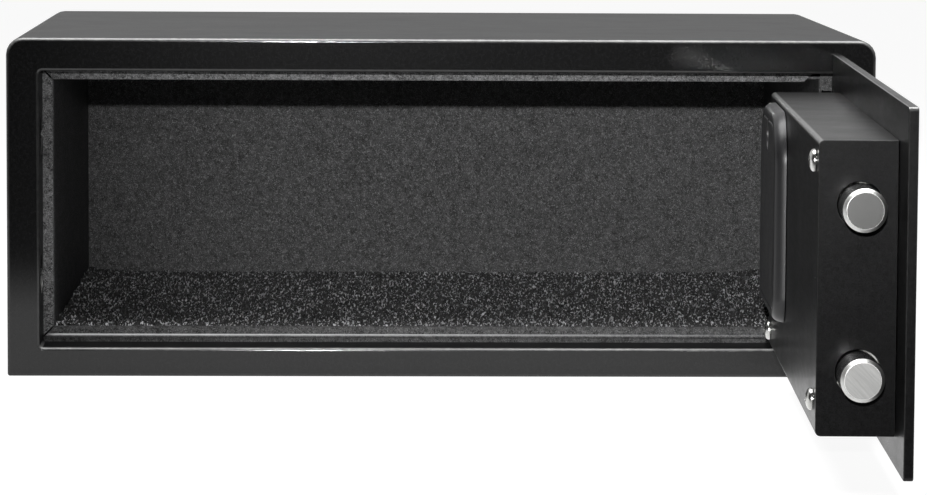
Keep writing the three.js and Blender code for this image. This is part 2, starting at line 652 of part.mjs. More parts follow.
// A helix of round wire from its low end to its high end, closed at both ends
function helixSpring(radius, wire, low, high, turns) {
  const sides = 5;
  const perTurn = 10;
  const count = turns * perTurn;
  const positions = [];
  const index = [];
  for (let i = 0; i <= count; i++) {
    const angle = (i / perTurn) * Math.PI * 2;
    const z = low + wire + ((high - low - 2 * wire) * i) / count;
    for (let k = 0; k < sides; k++) {
      const phi = (k / sides) * Math.PI * 2;
      const r = radius + wire * Math.cos(phi);
      positions.push(r * Math.cos(angle), r * Math.sin(angle), z + wire * Math.sin(phi));
    }
  }
  for (let i = 0; i < count; i++) {
    for (let k = 0; k < sides; k++) {
      const a = i * sides + k;
      const b = i * sides + ((k + 1) % sides);
      index.push(a, a + sides, b, b, a + sides, b + sides);
    }
  }
  for (let k = 1; k < sides - 1; k++) {
    index.push(0, k, k + 1);
    const e = count * sides;
    index.push(e, e + k + 1, e + k);
  }
  const geometry = new THREE.BufferGeometry();
  geometry.setAttribute("position", new THREE.Float32BufferAttribute(positions, 3));
  geometry.setIndex(index);
  geometry.computeVertexNormals();
  return geometry;
}

// Keypad housing on the outside of the door, with a well for each key
function keypadHousing() {
  const k = keypad;
  const w = k.width / 2;
  const h = k.height / 2;
  const rect = [-w, w, -h, h, k.cornerRadius];
  const form = loft([ring(rect, -k.depth, k.draft), ring(rect, -k.depth * 0.94, k.draft * 0.6),
    ring(rect, -k.depth * 0.8, k.draft * 0.3), ring(rect, 0)]);
  const panel = k.panelInset;
  let housing = form.subtract(pullY(roundedRect(-w + panel, w - panel, -h + panel, h - panel,
    k.cornerRadius - panel), -k.depth - overrun, -k.depth + k.panelDepth, 5));
  const hollow = k.wall;
  const floor = -k.depth + k.panelDepth + hollow + k.floorExtra;
  housing = housing.subtract(block(-w + hollow, w - hollow, floor, overrun, -h + hollow, h - hollow));
  for (const [, x, z] of keyPlaces()) {
    const a = k.keyWidth / 2 + k.keyClear;
    const b = k.keyHeight / 2 + k.keyClear;
    housing = housing.subtract(pullY(roundedRect(x - a, x + a, z - b, z + b,
      k.keyRadius + k.keyClear), -k.depth - overrun, overrun, 2));
  }
  return housing;
}

const keyNames = ["1", "2", "3", "4", "5", "6", "7", "8", "9", "cancel", "0", "enter"];

function keyPlaces() {
  return keyNames.map((name, i) => [name, ((i % 3) - 1) * keypad.pitchX,
    (1.5 - Math.floor(i / 3)) * keypad.pitchZ]);
}

function keyCap() {
  const k = keypad;
  const a = k.keyWidth / 2;
  const b = k.keyHeight / 2;
  const top = -k.depth + k.panelDepth - k.keyProud;
  return softSlab([-a, a, -b, b, k.keyRadius], top, top + k.keyBody, k.keyRound, 0, 2, 2);
}

// Emergency lock: body through the door, turning plug with its tail, and the cap that hides it
function overrideBody() {
  const o = override;
  const inner = innerFace + gap;
  const seat = outerFace - gap;
  const barrel = rodY(o.bodyRadius, seat - o.flangeHeight / 2, seat + o.bodyLength, 24);
  const face = turnY([[0, -o.flangeHeight], [o.flangeRadius * 0.93, -o.flangeHeight],
    [o.flangeRadius, -o.flangeHeight / 2], [o.flangeRadius, 0], [0, 0]], 32).translate([0, seat, 0]);
  const nut = rodY(o.nutRadius, inner, inner + o.nutHeight, 6);
  const bore = rodY(o.plugRadius + o.plugClear, -body.depth, body.depth, 24);
  return barrel.add(face).add(nut).subtract(bore);
}

function overridePlug() {
  const o = override;
  const front = outerFace - o.flangeHeight;
  const rear = outerFace - gap + o.bodyLength + gap;
  const plug = rodY(o.plugRadius, front, rear, 24);
  const slot = block(-o.slotWidth / 2, o.slotWidth / 2, front - overrun, front + o.slotDepth,
    -o.slotLength / 2, o.slotLength / 2);
  const w = o.tailWidth / 2;
  const tail = softSlab([-w, w, -o.tailLength, w, w], rear, rear + o.tailThickness, 0, 0);
  return plug.subtract(slot).add(tail);
}

// Round cap whose ear turns on its own pin above the lock
function overrideCap() {
  const o = override;
  const seat = outerFace - gap - o.flangeHeight - gap;
  const disc = turnY([[0, -o.capHeight], [o.capRadius * 0.8, -o.capHeight],
    [o.capRadius, -o.capHeight / 2], [o.capRadius, 0], [0, 0]], 32).translate([0, seat, -o.capPinReach]);
  const w = o.capPinRadius * 2;
  const ear = block(-w, w, seat - o.capHeight * 0.6, seat, -o.capPinReach, 0)
    .add(rodY(w, seat - o.capHeight * 0.6, seat, 16));
  const pin = rodY(o.capPinRadius, seat - overrun / 2, outerFace - gap, 12);
  return disc.add(ear).add(pin);
}

function circuitBoard() {
  const b = board;
  const sheet = block(-b.width / 2, b.width / 2, 0, b.thickness, -b.height / 2, b.height / 2);
  const [low, high] = [b.thickness / 2, b.thickness + b.chipHeight];
  const chip = block(-b.chip, b.chip, low, high, -b.chip / 2, b.chip / 2);
  const plugLow = b.postInset * 2 - b.height / 2;
  const plug = block(-b.plugWidth / 2, b.plugWidth / 2, low, b.thickness + b.plugHeight,
    plugLow, plugLow + b.plugDepth);
  return sheet.add(chip).add(plug);
}

// Battery tray, its cells and the raised lid with its screw
function trayMouth() {
  return [cell.length + 2 * tray.endRoom, trayHeight];
}

function batteryTray() {
  const [w, h] = trayMouth();
  const t = tray.wall;
  const top = depthY(coverInside - gap);
  const floor = top - cell.radius * 2 - tray.floorGap - t - tray.lift;
  const outside = block(-w / 2 - t, w / 2 + t, floor, top, -h / 2 - t, h / 2 + t);
  const rim = block(-w / 2 - tray.rim, w / 2 + tray.rim, top - tray.rimThickness, top,
    -h / 2 - tray.rim, h / 2 + tray.rim);
  return outside.add(rim).subtract(block(-w / 2, w / 2, floor + t, top + overrun, -h / 2, h / 2));
}

function batteryCell() {
  const { radius: r, nubRadius: nub, length, edge } = cell;
  const shoulder = length - cell.nubHeight;
  return turnY([[0, 0], [r - edge, 0], [r, edge], [r, shoulder - edge], [r - edge, shoulder],
    [nub, shoulder], [nub, length], [0, length]], 20).rotate([0, 0, 90]);
}

const lidScrewPlace = () => [lid.fromHinge + lid.width * lid.screwShare, lidTop - lid.screwFromTop];

function lidForm(inset, rise) {
  const rect = [alongX(lid.fromHinge + lid.width) + inset, alongX(lid.fromHinge) - inset,
    lidBottom + inset, lidTop - inset, lid.cornerRadius - inset];
  const steps = 5;
  const rings = [];
  for (let i = 0; i <= steps; i++) {
    const angle = (i / steps) * (Math.PI / 2);
    const y = depthY(lockBox.depth + gap) + rise * Math.sin(angle);
    rings.push(ring(rect, y, lid.draft * (1 - Math.cos(angle)), 6));
  }
  return loft(rings);
}

function batteryLid() {
  const outside = lidForm(0, lid.rise);
  const inside = lidForm(lid.wall, lid.rise - lid.wall);
  const [along, z] = lidScrewPlace();
  const place = [alongX(along), 0, z];
  const seat = depthY(lockBox.depth + gap);
  const top = seat + lid.rise;
  const sunk = top - lid.recessDepth;
  const rod = (radius, y0, y1, segments) => rodY(radius, y0, y1, segments).translate(place);
  const shell = outside.subtract(inside).subtract(inside.translate([0, -gap, 0]));
  const cup = rod(lid.recessRadius + lid.wall / 2, sunk - lid.wall, top, 24).intersect(outside);
  return shell.add(cup)
    .add(rod(lid.bossRadius, seat, sunk, 20))
    .subtract(rod(lid.recessRadius, sunk, top + overrun, 24))
    .subtract(rod(lid.screwShank + gap, seat - overrun, top + overrun, 12));
}

function lidScrew() {
  const seat = depthY(lockBox.depth + gap) + lid.rise - lid.recessDepth + gap / 2;
  const { screwHeadHeight: h, screwHeadRadius: r, screwShank: shank } = lid;
  const end = seat - lid.screwLength;
  return turnY([[0, end], [shank, end], [shank, seat], [r, seat], [r, seat + h / 2],
    [r * 0.7, seat + h], [0, seat + h]], 16);
}

// The body and everything fixed to it. The origin lies at the middle of the underside.
const part = new THREE.Group();
const safe = new THREE.Group();
safe.position.y = -body.depth / 2;
part.add(safe);
safe.add(piece("outer_shell", outerShell(), "powder"));
safe.add(piece("back_panel", backPanel(), "powder"));
safe.add(piece("inner_liner", innerLiner(), "liner"));
safe.add(piece("stop_strip_top", topStrip(), "liner"));
safe.add(piece("stop_strip_bottom", bottomStrip(), "liner"));
safe.add(piece("stop_strip_left", leftStrip(), "liner"));
safe.add(piece("stop_strip_right", rightStrip(), "liner"));
safe.add(piece("floor_mat", floorMat(), "felt"));
anchorPlaces().forEach((x, i) => {
  const name = ["anchor_plug_left", "anchor_plug_right"][i];
  safe.add(piece(name, anchorPlug(), "rubber", [x, 0, anchor.height]));
});
const hingePlaces = [["lower", hingeLow], ["upper", hingeHigh]];
hingePlaces.forEach(([where, low]) => {
  safe.add(piece(`hinge_knuckle_${where}`, wallKnuckle(), "powder", [pivotX, pivotY, low]));
  safe.add(piece(`hinge_pin_${where}`, hingePin(), "steel", [pivotX, pivotY, low]));
});

// The door, drawn shut about its hinge line and turned to where it stands
const door = new THREE.Group();
door.position.set(pivotX, pivotY, 0);
door.rotation.z = THREE.MathUtils.degToRad(plate.standAngle);
safe.add(door);
door.add(piece("door_plate", doorPlate(), "powder"));
door.add(piece("lock_box_cover", lockBoxCover(), "powder"));
hingePlaces.forEach(([where, low]) => {
  const z = low + hinge.knuckle + hinge.joint;
  door.add(piece(`door_knuckle_${where}`, doorKnuckle(), "powder", [0, 0, z]));
});
screwPlaces().forEach(([along, z], i) => {
  door.add(piece(`cover_screw_${i + 1}`, panScrew(), "chrome", [alongX(along), depthY(lockBox.depth), z]));
});
door.add(piece("bolt_guide", boltGuide(), "zinc"));
door.add(piece("bolt_carrier", boltCarrier(), "zinc"));
[["lower", -1], ["upper", 1]].forEach(([where, side]) => {
  door.add(piece(`bolt_${where}`, boltRod(), "steel",
    [alongX(boltTip), depthY(bolt.axisOffset), boxMiddle + side * boltSpread]));
});
const knobSeat = outerFace - gap;
const knobX = alongX(knobAlong);
door.add(piece("knob_rose", knobRose(), "plastic", [knobX, knobSeat, boxMiddle]));
door.add(piece("knob", knobBody(), "plastic", [knobX, knobSeat - knob.roseHeight - gap, boxMiddle]));
door.add(piece("knob_spindle", spindleWithCrank(), "zinc", [knobX, 0, boxMiddle]));
const coilY = depthY(gap) + solenoid.frame + solenoid.coilRadius;
const coilX = alongX(solenoidAlong);
const springTop = plungerTip - solenoid.collarHeight * 1.5 - gap;
door.add(piece("solenoid_body", solenoidBody(), "copper", [coilX, depthY(gap), solenoidTop]));
door.add(piece("solenoid_plunger", solenoidPlunger(), "steel", [coilX, coilY, plungerTip]));
door.add(piece("plunger_spring", helixSpring(solenoid.springRadius, solenoid.springWire,
  solenoidTop + gap, springTop, solenoid.springTurns), "steel", [coilX, coilY, 0]));
const keypadX = alongX(keypadAlong);
door.add(piece("keypad_housing", keypadHousing(), "plastic", [keypadX, outerFace - gap, boxMiddle]));
keyPlaces().forEach(([name, x, z]) => {
  door.add(piece(`key_${name}`, keyCap(), "key", [keypadX + x, outerFace - gap, boxMiddle + z]));
});
door.add(piece("override_body", overrideBody(), "zinc", [alongX(overrideAlong), 0, boxMiddle]));
door.add(piece("override_plug", overridePlug(), "steel", [alongX(overrideAlong), 0, boxMiddle]));
door.add(piece("override_cap", overrideCap(), "plastic",
  [alongX(overrideAlong), 0, boxMiddle + override.capPinReach]));
door.add(piece("circuit_board", circuitBoard(), "green",
  [keypadX, depthY(board.standOff + gap), boxMiddle]));
door.add(piece("battery_tray", batteryTray(), "plastic", [alongX(lidCentre), 0, trayMiddle]));
for (let i = 0; i < 4; i++) {
  const way = i % 2 ? 1 : -1;
  const x = alongX(lidCentre) + way * cell.length / 2;
  const y = depthY(coverInside - gap - tray.lift - cell.radius);
  const z = trayMiddle + (i - 1.5) * cell.pitch;
  const mesh = piece(`battery_cell_${i + 1}`, batteryCell(), "cell", [x, y, z]);
  mesh.rotation.z = way > 0 ? 0 : Math.PI;
  door.add(mesh);
}
door.add(piece("battery_lid", batteryLid(), "plastic"));
const [lidScrewAlong, lidScrewZ] = lidScrewPlace();
door.add(piece("lid_screw", lidScrew(), "chrome", [alongX(lidScrewAlong), 0, lidScrewZ]));

export default part;
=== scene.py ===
# Looks of the under desk safe: finishes, carpet, screws, key numbers, camera and lights
import json
import math
import random

import bmesh
import bpy
from bpy.props import FloatProperty, FloatVectorProperty, PointerProperty
from mathutils import Matrix, Vector


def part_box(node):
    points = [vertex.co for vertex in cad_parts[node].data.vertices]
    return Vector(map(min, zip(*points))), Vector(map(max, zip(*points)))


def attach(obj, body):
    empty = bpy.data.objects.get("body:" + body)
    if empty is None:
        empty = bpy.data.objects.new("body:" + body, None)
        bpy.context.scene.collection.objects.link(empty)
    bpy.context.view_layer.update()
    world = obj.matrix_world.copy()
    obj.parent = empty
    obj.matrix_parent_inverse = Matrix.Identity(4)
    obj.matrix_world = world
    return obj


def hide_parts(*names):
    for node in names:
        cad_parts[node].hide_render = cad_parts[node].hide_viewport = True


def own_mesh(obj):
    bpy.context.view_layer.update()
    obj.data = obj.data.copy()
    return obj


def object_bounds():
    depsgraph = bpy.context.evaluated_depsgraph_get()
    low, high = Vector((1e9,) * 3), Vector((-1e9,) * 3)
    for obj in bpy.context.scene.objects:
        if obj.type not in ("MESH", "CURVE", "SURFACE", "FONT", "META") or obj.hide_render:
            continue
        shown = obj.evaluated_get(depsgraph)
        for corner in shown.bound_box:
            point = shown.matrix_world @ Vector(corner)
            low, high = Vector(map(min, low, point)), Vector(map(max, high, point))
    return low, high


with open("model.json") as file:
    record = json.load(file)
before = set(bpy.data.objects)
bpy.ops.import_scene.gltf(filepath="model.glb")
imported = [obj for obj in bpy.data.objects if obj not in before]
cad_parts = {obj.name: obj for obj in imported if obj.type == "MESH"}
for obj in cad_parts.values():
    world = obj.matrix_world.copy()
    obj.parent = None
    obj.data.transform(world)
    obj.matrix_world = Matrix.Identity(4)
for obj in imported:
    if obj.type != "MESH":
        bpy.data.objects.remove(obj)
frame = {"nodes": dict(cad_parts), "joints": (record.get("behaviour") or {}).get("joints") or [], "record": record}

bl_info = {
    "name": "Under Desk Safe",
    "version": (1, 0, 0),
    "blender": (4, 5, 0),
    "location": "View3D > Sidebar > Safe",
    "description": "Finishes and details of a low steel safe with its door open",
    "category": "Object",
}

CAD_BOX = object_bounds()
NODES = frame["nodes"]
BODIES = frame["record"]["behaviour"]["bodies"]
BODY_OF = {node: body for body, nodes in BODIES.items() for node in nodes}
JOINTS = {joint["name"]: joint for joint in frame["joints"]}
UP = Vector((0, 0, 1))
OUTWARD = Vector(JOINTS["knob_turn"]["axis"]).normalized()
INWARD = -OUTWARD
FREE_WAY = Vector(JOINTS["bolt_throw"]["axis"]).normalized()
MM = 0.001
MERGE = 0.001 * MM  # Points nearer than this are one
PRINT_SINK = 0.02 * MM  # Depth by which a print is sunk into its face
SHARP = math.radians(38)
COPLANAR = math.radians(0.4)  # Faces of a solid that are merged into one
LEVEL = math.radians(0.5)  # Faces that count as one flat
WIDEST_ROUND = 1.2 * MM


class SafeSizes(bpy.types.PropertyGroup):
    """Sizes of the details that the finish adds"""

    sheet_round: FloatProperty(
        name="Sheet edge", description="Soft edge that the coat leaves on folded sheet",
        default=0.35 * MM, unit="LENGTH")
    fine_round: FloatProperty(
        name="Fine edge", description="Soft edge of small turned and moulded pieces",
        default=0.15 * MM, unit="LENGTH")
    pile_cell: FloatProperty(
        name="Tuft width", description="Width of one tuft of the carpet",
        default=0.62 * MM, unit="LENGTH")
    pile_row: FloatProperty(
        name="Tuft row", description="Distance from one row of tufts to the next",
        default=2.1 * MM, unit="LENGTH")
    pile_height: FloatProperty(
        name="Pile height", description="Height between the lowest and the highest tuft",
        default=2.4 * MM, unit="LENGTH")
    curl: FloatProperty(
        name="Carpet curl", description="Height by which the carpet curls up at the side walls",
        default=3.5 * MM, unit="LENGTH")
    bolt_chamfer: FloatProperty(
        name="Bolt chamfer", description="Width of the chamfer round the end of a bolt",
        default=1.3 * MM, unit="LENGTH")
    recess_width: FloatProperty(
        name="Screw recess", description="Width of one arm of the cross in a cover screw",
        default=1.3 * MM, unit="LENGTH")
    groove: FloatProperty(
        name="Lid groove", description="Width of the groove round the face of the battery lid",
        default=0.9 * MM, unit="LENGTH")
    lid_drop: FloatProperty(
        name="Lid foot", description="Length by which the lid reaches below its solid",
        default=2.2 * MM, unit="LENGTH")
    number_height: FloatProperty(
        name="Number height", description="Height of the numbers on the keys",
        default=6.5 * MM, unit="LENGTH")


class SafeColours(bpy.types.PropertyGroup):
    """Colours of the finishes"""

    coat: FloatVectorProperty(
        name="Coat", description="Satin powder coat of the body and the door",
        default=(0.0055, 0.0055, 0.0058), subtype="COLOR")
    lining: FloatVectorProperty(
        name="Lining", description="Coarse coat of the lining",
        default=(0.068, 0.068, 0.069), subtype="COLOR")
    strips: FloatVectorProperty(
        name="Strips", description="Coarse coat of the stop strips",
        default=(0.19, 0.19, 0.192), subtype="COLOR")
    carpet: FloatVectorProperty(
        name="Carpet", description="Pile of the carpet on the floor",
        default=(0.030, 0.030, 0.031), subtype="COLOR")
    moulding: FloatVectorProperty(
        name="Moulding", description="Black moulded parts",
        default=(0.014, 0.014, 0.015), subtype="COLOR")
    steel: FloatVectorProperty(
        name="Steel", description="Bare steel of the bolts",
        default=(0.56, 0.56, 0.55), subtype="COLOR")
    print: FloatVectorProperty(
        name="Print", description="Numbers printed on the keys",
        default=(0.85, 0.85, 0.84), subtype="COLOR")


class SafeStage(bpy.types.PropertyGroup):
    """Camera and light"""

    lens: FloatProperty(
        name="Lens", description="Focal length on a 36 mm sensor", default=162.247)
    distance: FloatProperty(
        name="Distance", description="Distance of the camera in front of the origin",
        default=2.215386, unit="LENGTH")
    aside: FloatProperty(
        name="Aside", description="Place of the camera across the safe",
        default=-0.046471, unit="LENGTH")
    height: FloatProperty(
        name="Height", description="Height of the camera above the floor",
        default=0.269117, unit="LENGTH")
    yaw: FloatProperty(
        name="Yaw", description="Turn of the camera to the right", default=0.0278624,
        subtype="ANGLE")
    pitch: FloatProperty(
        name="Pitch", description="Tilt of the camera below the horizon", default=0.0987950,
        subtype="ANGLE")
    roll: FloatProperty(
        name="Roll", description="Roll of the camera", default=0.0053949, subtype="ANGLE")
    key_power: FloatProperty(
        name="Key light", description="Power of the spot beside the camera in watts", default=130)
    top_power: FloatProperty(
        name="Top light", description="Power of the soft light overhead in watts", default=30)
    fill: FloatProperty(
        name="Fill", description="Strength of the light from behind", default=0.3)
    front_fill: FloatProperty(
        name="Front fill", description="Strength of the light from the front", default=0.004)
    paper_reach: FloatProperty(
        name="Paper", description="Reach of the white paper in front of the safe",
        default=0.7, unit="LENGTH")


def across(node, axis):
    """Lowest and highest reach of a CAD node along an axis."""
    reach = [vertex.co.dot(axis) for vertex in NODES[node].data.vertices]
    return min(reach), max(reach)


def centre(node):
    low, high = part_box(node)
    return (low + high) / 2


def half_height(node):
    low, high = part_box(node)
    return (high.z - low.z) / 2


def looking(x_axis, y_axis, z_axis, place):
    """Matrix that puts a piece drawn about its own origin in place along the given axes."""
    turn = Matrix((x_axis, y_axis, z_axis)).transposed().to_4x4()
    return Matrix.Translation(place) @ turn


def inside_face(place):
    return looking(FREE_WAY, UP, INWARD, place)


def outside_face(place):
    return looking(-FREE_WAY, UP, OUTWARD, place)


def on_axis(node, axis, level):
    """Point on the centre line of a turned node, at a level along that line."""
    middle = centre(node)
    return middle + axis * (level - middle.dot(axis))


# Meshes

def seal(bm):
    """Merges the doubles and turns all faces outwards."""
    bmesh.ops.remove_doubles(bm, verts=bm.verts, dist=MERGE)
    bmesh.ops.recalc_face_normals(bm, faces=bm.faces)


def mesh_of(name, bm):
    mesh = bpy.data.meshes.new(name)
    bm.to_mesh(mesh)
    bm.free()
    return mesh


def new_object(name, data):
    """Puts an object with the given data in the scene."""
    thing = bpy.data.objects.new(name, data)
    bpy.context.scene.collection.objects.link(thing)
    return thing


def add_piece(name, bm, body, material, replaced=(), place=None, width=0.0):
    """Makes the piece from its bmesh, puts it in place and lets it ride on its body."""
    if place is not None:
        bmesh.ops.transform(bm, matrix=place, verts=bm.verts)
    seal(bm)
    return link_piece(name, bm, body, material, replaced, width)


def link_piece(name, bm, body, material, replaced, width):
    """Rounds the sharp edges, marks all rounded ones for the finish and links the piece."""
    if width:
        bmesh.ops.bevel(
            bm, geom=[edge for edge in bm.edges if has_room(edge, width)], offset=width,
            offset_type="OFFSET", affect="EDGES", segments=2, profile=0.5, material=-1,
            clamp_overlap=False)
    for face in bm.faces:
        face.smooth = True
    for edge in bm.edges:
        edge.smooth = not is_sharp(edge)
    flats = find_flats(bm)
    mark_rounds(bm, flats)
    normals = level_normals(bm, flats)
    mesh = mesh_of(name, bm)
    mesh.normals_split_custom_set(normals)
    mesh.materials.append(material)
    piece = new_object(name, mesh)
    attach(piece, body)
    if replaced:
        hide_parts(*replaced)
    return piece


def is_sharp(edge):
    return len(edge.link_faces) != 2 or edge.calc_face_angle(0) > SHARP


def has_room(edge, width):
    """Whether a sharp edge and the faces beside it are large enough to take a rounding."""
    if not is_sharp(edge) or edge.calc_length() < 2.5 * width:
        return False
    return all(face.calc_area() > width * face.calc_perimeter() for face in edge.link_faces)


def find_flats(bm):
    """The area and the mean width of the flat, all faces in one plane, that each face is in."""
    flats = {}
    for start in bm.faces:
        if start in flats:
            continue
        flats[start] = None
        group = [start]
        for face in group:
            for edge in face.edges:
                for other in edge.link_faces:
                    if other not in flats and edge.calc_face_angle(math.pi) < LEVEL:
                        flats[other] = None
                        group.append(other)
        inside = set(group)
        area = sum(face.calc_area() for face in group)
        rim = sum(edge.calc_length() for face in group for edge in face.edges
                  if not all(other in inside for other in edge.link_faces))
        for face in group:
            flats[face] = (area, 2 * area / max(rim, 1e-9))
    return flats


def level_normals(bm, flats):
    """One normal for each corner of each face, that of the largest flat which runs into it."""
    normals = []
    for face in bm.faces:
        for loop in face.loops:
            fan = {face}
            growing = [face]
            for near in growing:
                for edge in near.edges:
                    if edge.smooth and loop.vert in edge.verts:
                        found = [other for other in edge.link_faces if other not in fan]
                        fan.update(found)
                        growing += found
            total = Vector()
            for other in fan:
                total += other.normal * flats[other][0] ** 2
            normals.append(total.normalized())
    return normals


def mark_rounds(bm, flats):
    """An attribute that is one inside roundings and bends, and nought on the flats beside them."""
    layer = bm.verts.layers.float.new("rounding")
    for vertex in bm.verts:
        wide = any(flats[face][1] > WIDEST_ROUND for face in vertex.link_faces)
        vertex[layer] = 0.0 if wide else 1.0


def merged_copy(node):
    """The merged mesh of a CAD node, each of its flats one face."""
    bm = bmesh.new()
    bm.from_mesh(NODES[node].data)
    bmesh.ops.remove_doubles(bm, verts=bm.verts, dist=MERGE)
    bmesh.ops.dissolve_limit(
        bm, angle_limit=COPLANAR, use_dissolve_boundaries=False,
        verts=bm.verts, edges=bm.edges, delimit=set())
    return bm


def dress(node, material, width):
    """A copy of a CAD node with softened edges, which stands for the node."""
    return stand_in(node, merged_copy(node), material, width)


def stand_in(node, bm, material, width):
    """Links the finished form of a CAD node on its body, in place of the node."""
    return link_piece(
        node + "_finished", bm, BODY_OF[node], material, (node,), width)


def turned(profile, steps=64):
    """A closed solid turned about Z from a list of radius and height, from axis to axis."""
    bm = bmesh.new()
    points = [bm.verts.new((radius, 0, height)) for radius, height in profile]
    edges = [bm.edges.new(pair) for pair in zip(points, points[1:])]
    bmesh.ops.spin(
        bm, geom=points + edges, cent=(0, 0, 0), axis=(0, 0, 1), dvec=(0, 0, 0),
        angle=2 * math.pi, steps=steps, use_merge=True, use_duplicate=False)
    seal(bm)
    return bm


def rounded_plate(width, height, radius, segments=10, low_radius=None):
    """A flat face with rounded corners about the origin, facing up."""
    bm = bmesh.new()
    bmesh.ops.create_grid(bm, x_segments=1, y_segments=1, size=0.5)
    bmesh.ops.scale(bm, vec=(width, height, 1), verts=bm.verts)
    upper = [vertex for vertex in bm.verts if vertex.co.y > 0]
    lower = [vertex for vertex in bm.verts if vertex.co.y < 0]
    for corners, round_off in ((upper, radius), (lower, low_radius or radius)):
        bmesh.ops.bevel(
            bm, geom=corners, offset=round_off, offset_type="OFFSET", affect="VERTICES",
            segments=segments, profile=0.5, material=-1, clamp_overlap=False)
    return bm


def raise_face(bm, face, height):
    """Pulls a face up, which leaves a wall round it."""
    made = bmesh.ops.extrude_face_region(bm, geom=[face])
    top = next(item for item in made["geom"] if isinstance(item, bmesh.types.BMFace))
    bmesh.ops.translate(bm, verts=top.verts, vec=(0, 0, height))
    return top


def draw_in(bm, face, inset, height):
    """Draws a face in by an inset and moves it up."""
    bmesh.ops.inset_region(bm, faces=[face], thickness=inset, use_even_offset=True)
    bmesh.ops.translate(bm, verts=face.verts, vec=(0, 0, height))
    return face


def shift(bm, way):
    bmesh.ops.translate(bm, verts=bm.verts, vec=way)


def rim_of(bm):
    return [edge for edge in bm.edges if edge.is_boundary]


def close_rims(bm):
    bmesh.ops.holes_fill(bm, edges=rim_of(bm), sides=0)


def cross_cutter(reach, width, depth, top):
    """Two tapered arms that cut a cross into the head of a screw."""
    bm = bmesh.new()
    for turn in (0, math.pi / 2):
        made = bmesh.ops.create_cube(bm, size=1)["verts"]
        bmesh.ops.scale(bm, vec=(2 * reach, width, 2 * depth), verts=made)
        low = [vertex for vertex in made if vertex.co.z < 0]
        bmesh.ops.scale(bm, vec=(0.45, 0.75, 1), verts=low)
        bmesh.ops.rotate(bm, cent=(0, 0, 0), matrix=Matrix.Rotation(turn, 3, "Z"), verts=made)
    shift(bm, (0, 0, top))
    return bm


def carve(bm, cutter):
    """Cuts one bmesh out of another and returns the result."""
    things = [new_object("carving", mesh_of("carving", source)) for source in (bm, cutter)]
    cut = things[0].modifiers.new("Cut", "BOOLEAN")
    cut.operation = "DIFFERENCE"
    cut.solver = "EXACT"
    cut.use_self = True
    cut.object = things[1]
    seen = things[0].evaluated_get(bpy.context.evaluated_depsgraph_get())
    result = bmesh.new()
    result.from_mesh(seen.to_mesh())
    for thing in things:
        mesh = thing.data
        bpy.data.objects.remove(thing)
        bpy.data.meshes.remove(mesh)
    return result


# Shader groups

def new_group(name, inputs, outputs):
    group = bpy.data.node_groups.new(name, "ShaderNodeTree")
    for label, value in inputs.items():
        socket = group.interface.new_socket(
            name=label, in_out="INPUT", socket_type="NodeSocketFloat")
        socket.default_value = value
    for label in outputs:
        group.interface.new_socket(name=label, in_out="OUTPUT", socket_type="NodeSocketFloat")
    return group, group.nodes.new("NodeGroupInput"), group.nodes.new("NodeGroupOutput")


def add_node(tree, kind, links=None, **settings):
    """A node with its settings, its sockets set to values or linked from other sockets."""
    made = tree.nodes.new(kind)
    for name, value in settings.items():
        setattr(made, name, value)
    for socket, source in (links or {}).items():
        if isinstance(source, bpy.types.NodeSocket):
            tree.links.new(source, made.inputs[socket])
        else:
            made.inputs[socket].default_value = source
    return made


def feed(tree, node, **sources):
    """Links sources to the sockets of a shader or of a group's output."""
    for socket, source in sources.items():
        tree.links.new(source, node.inputs[socket.replace("_", " ")])


def maths(tree, operation, first, second=0.0):
    links = {0: first, 1: second}
    return add_node(tree, "ShaderNodeMath", links, operation=operation).outputs[0]


def remap(tree, value, low, high, new_low=0.0, new_high=1.0):
    links = {"Value": value, "From Min": low, "From Max": high,
             "To Min": new_low, "To Max": new_high}
    return add_node(tree, "ShaderNodeMapRange", links).outputs["Result"]


def own_place(tree):
    """Coordinates of the piece itself."""
    return add_node(tree, "ShaderNodeTexCoord").outputs["Object"]


def noise(tree, vector, scale, detail=2.0, roughness=0.5):
    links = {"Vector": vector, "Scale": scale, "Detail": detail, "Roughness": roughness}
    return add_node(tree, "ShaderNodeTexNoise", links).outputs["Fac"]


def blend(tree, first, share, second, other_share):
    """The sum of two values, each times its share."""
    return maths(tree, "ADD", maths(tree, "MULTIPLY", first, share),
                 maths(tree, "MULTIPLY", second, other_share))


def grain_group():
    """Fine grain of a sprayed coat: its height, and a mask high on the tops of its bumps, used for the grain's
    tone and for painted shade: tops lighter, hollows darker.
    """
    group, given, result = new_group(
        "Coat grain", {"Size": 0.0005, "Sharpness": 0.5}, ["Height", "Tops"])
    place = own_place(group)
    scale = maths(group, "DIVIDE", 1.0, given.outputs["Size"])
    peel = add_node(group, "ShaderNodeTexVoronoi", {"Vector": place, "Scale": scale},
                    feature="SMOOTH_F1").outputs["Distance"]
    bumps = noise(group, place, maths(group, "MULTIPLY", scale, 1.7), 3.0, 0.6)
    wide = noise(group, place, maths(group, "MULTIPLY", scale, 0.3), 1.0)
    domes = maths(group, "SUBTRACT", 1.0, peel)
    share = given.outputs["Sharpness"]
    mixed = add_node(group, "ShaderNodeMix", {0: share, 2: bumps, 3: domes}).outputs[0]
    height = maths(group, "ADD", mixed, maths(group, "MULTIPLY", wide, 0.35))
    feed(group, result, Height=height, Tops=remap(group, height, 0.55, 1.05))
    return group


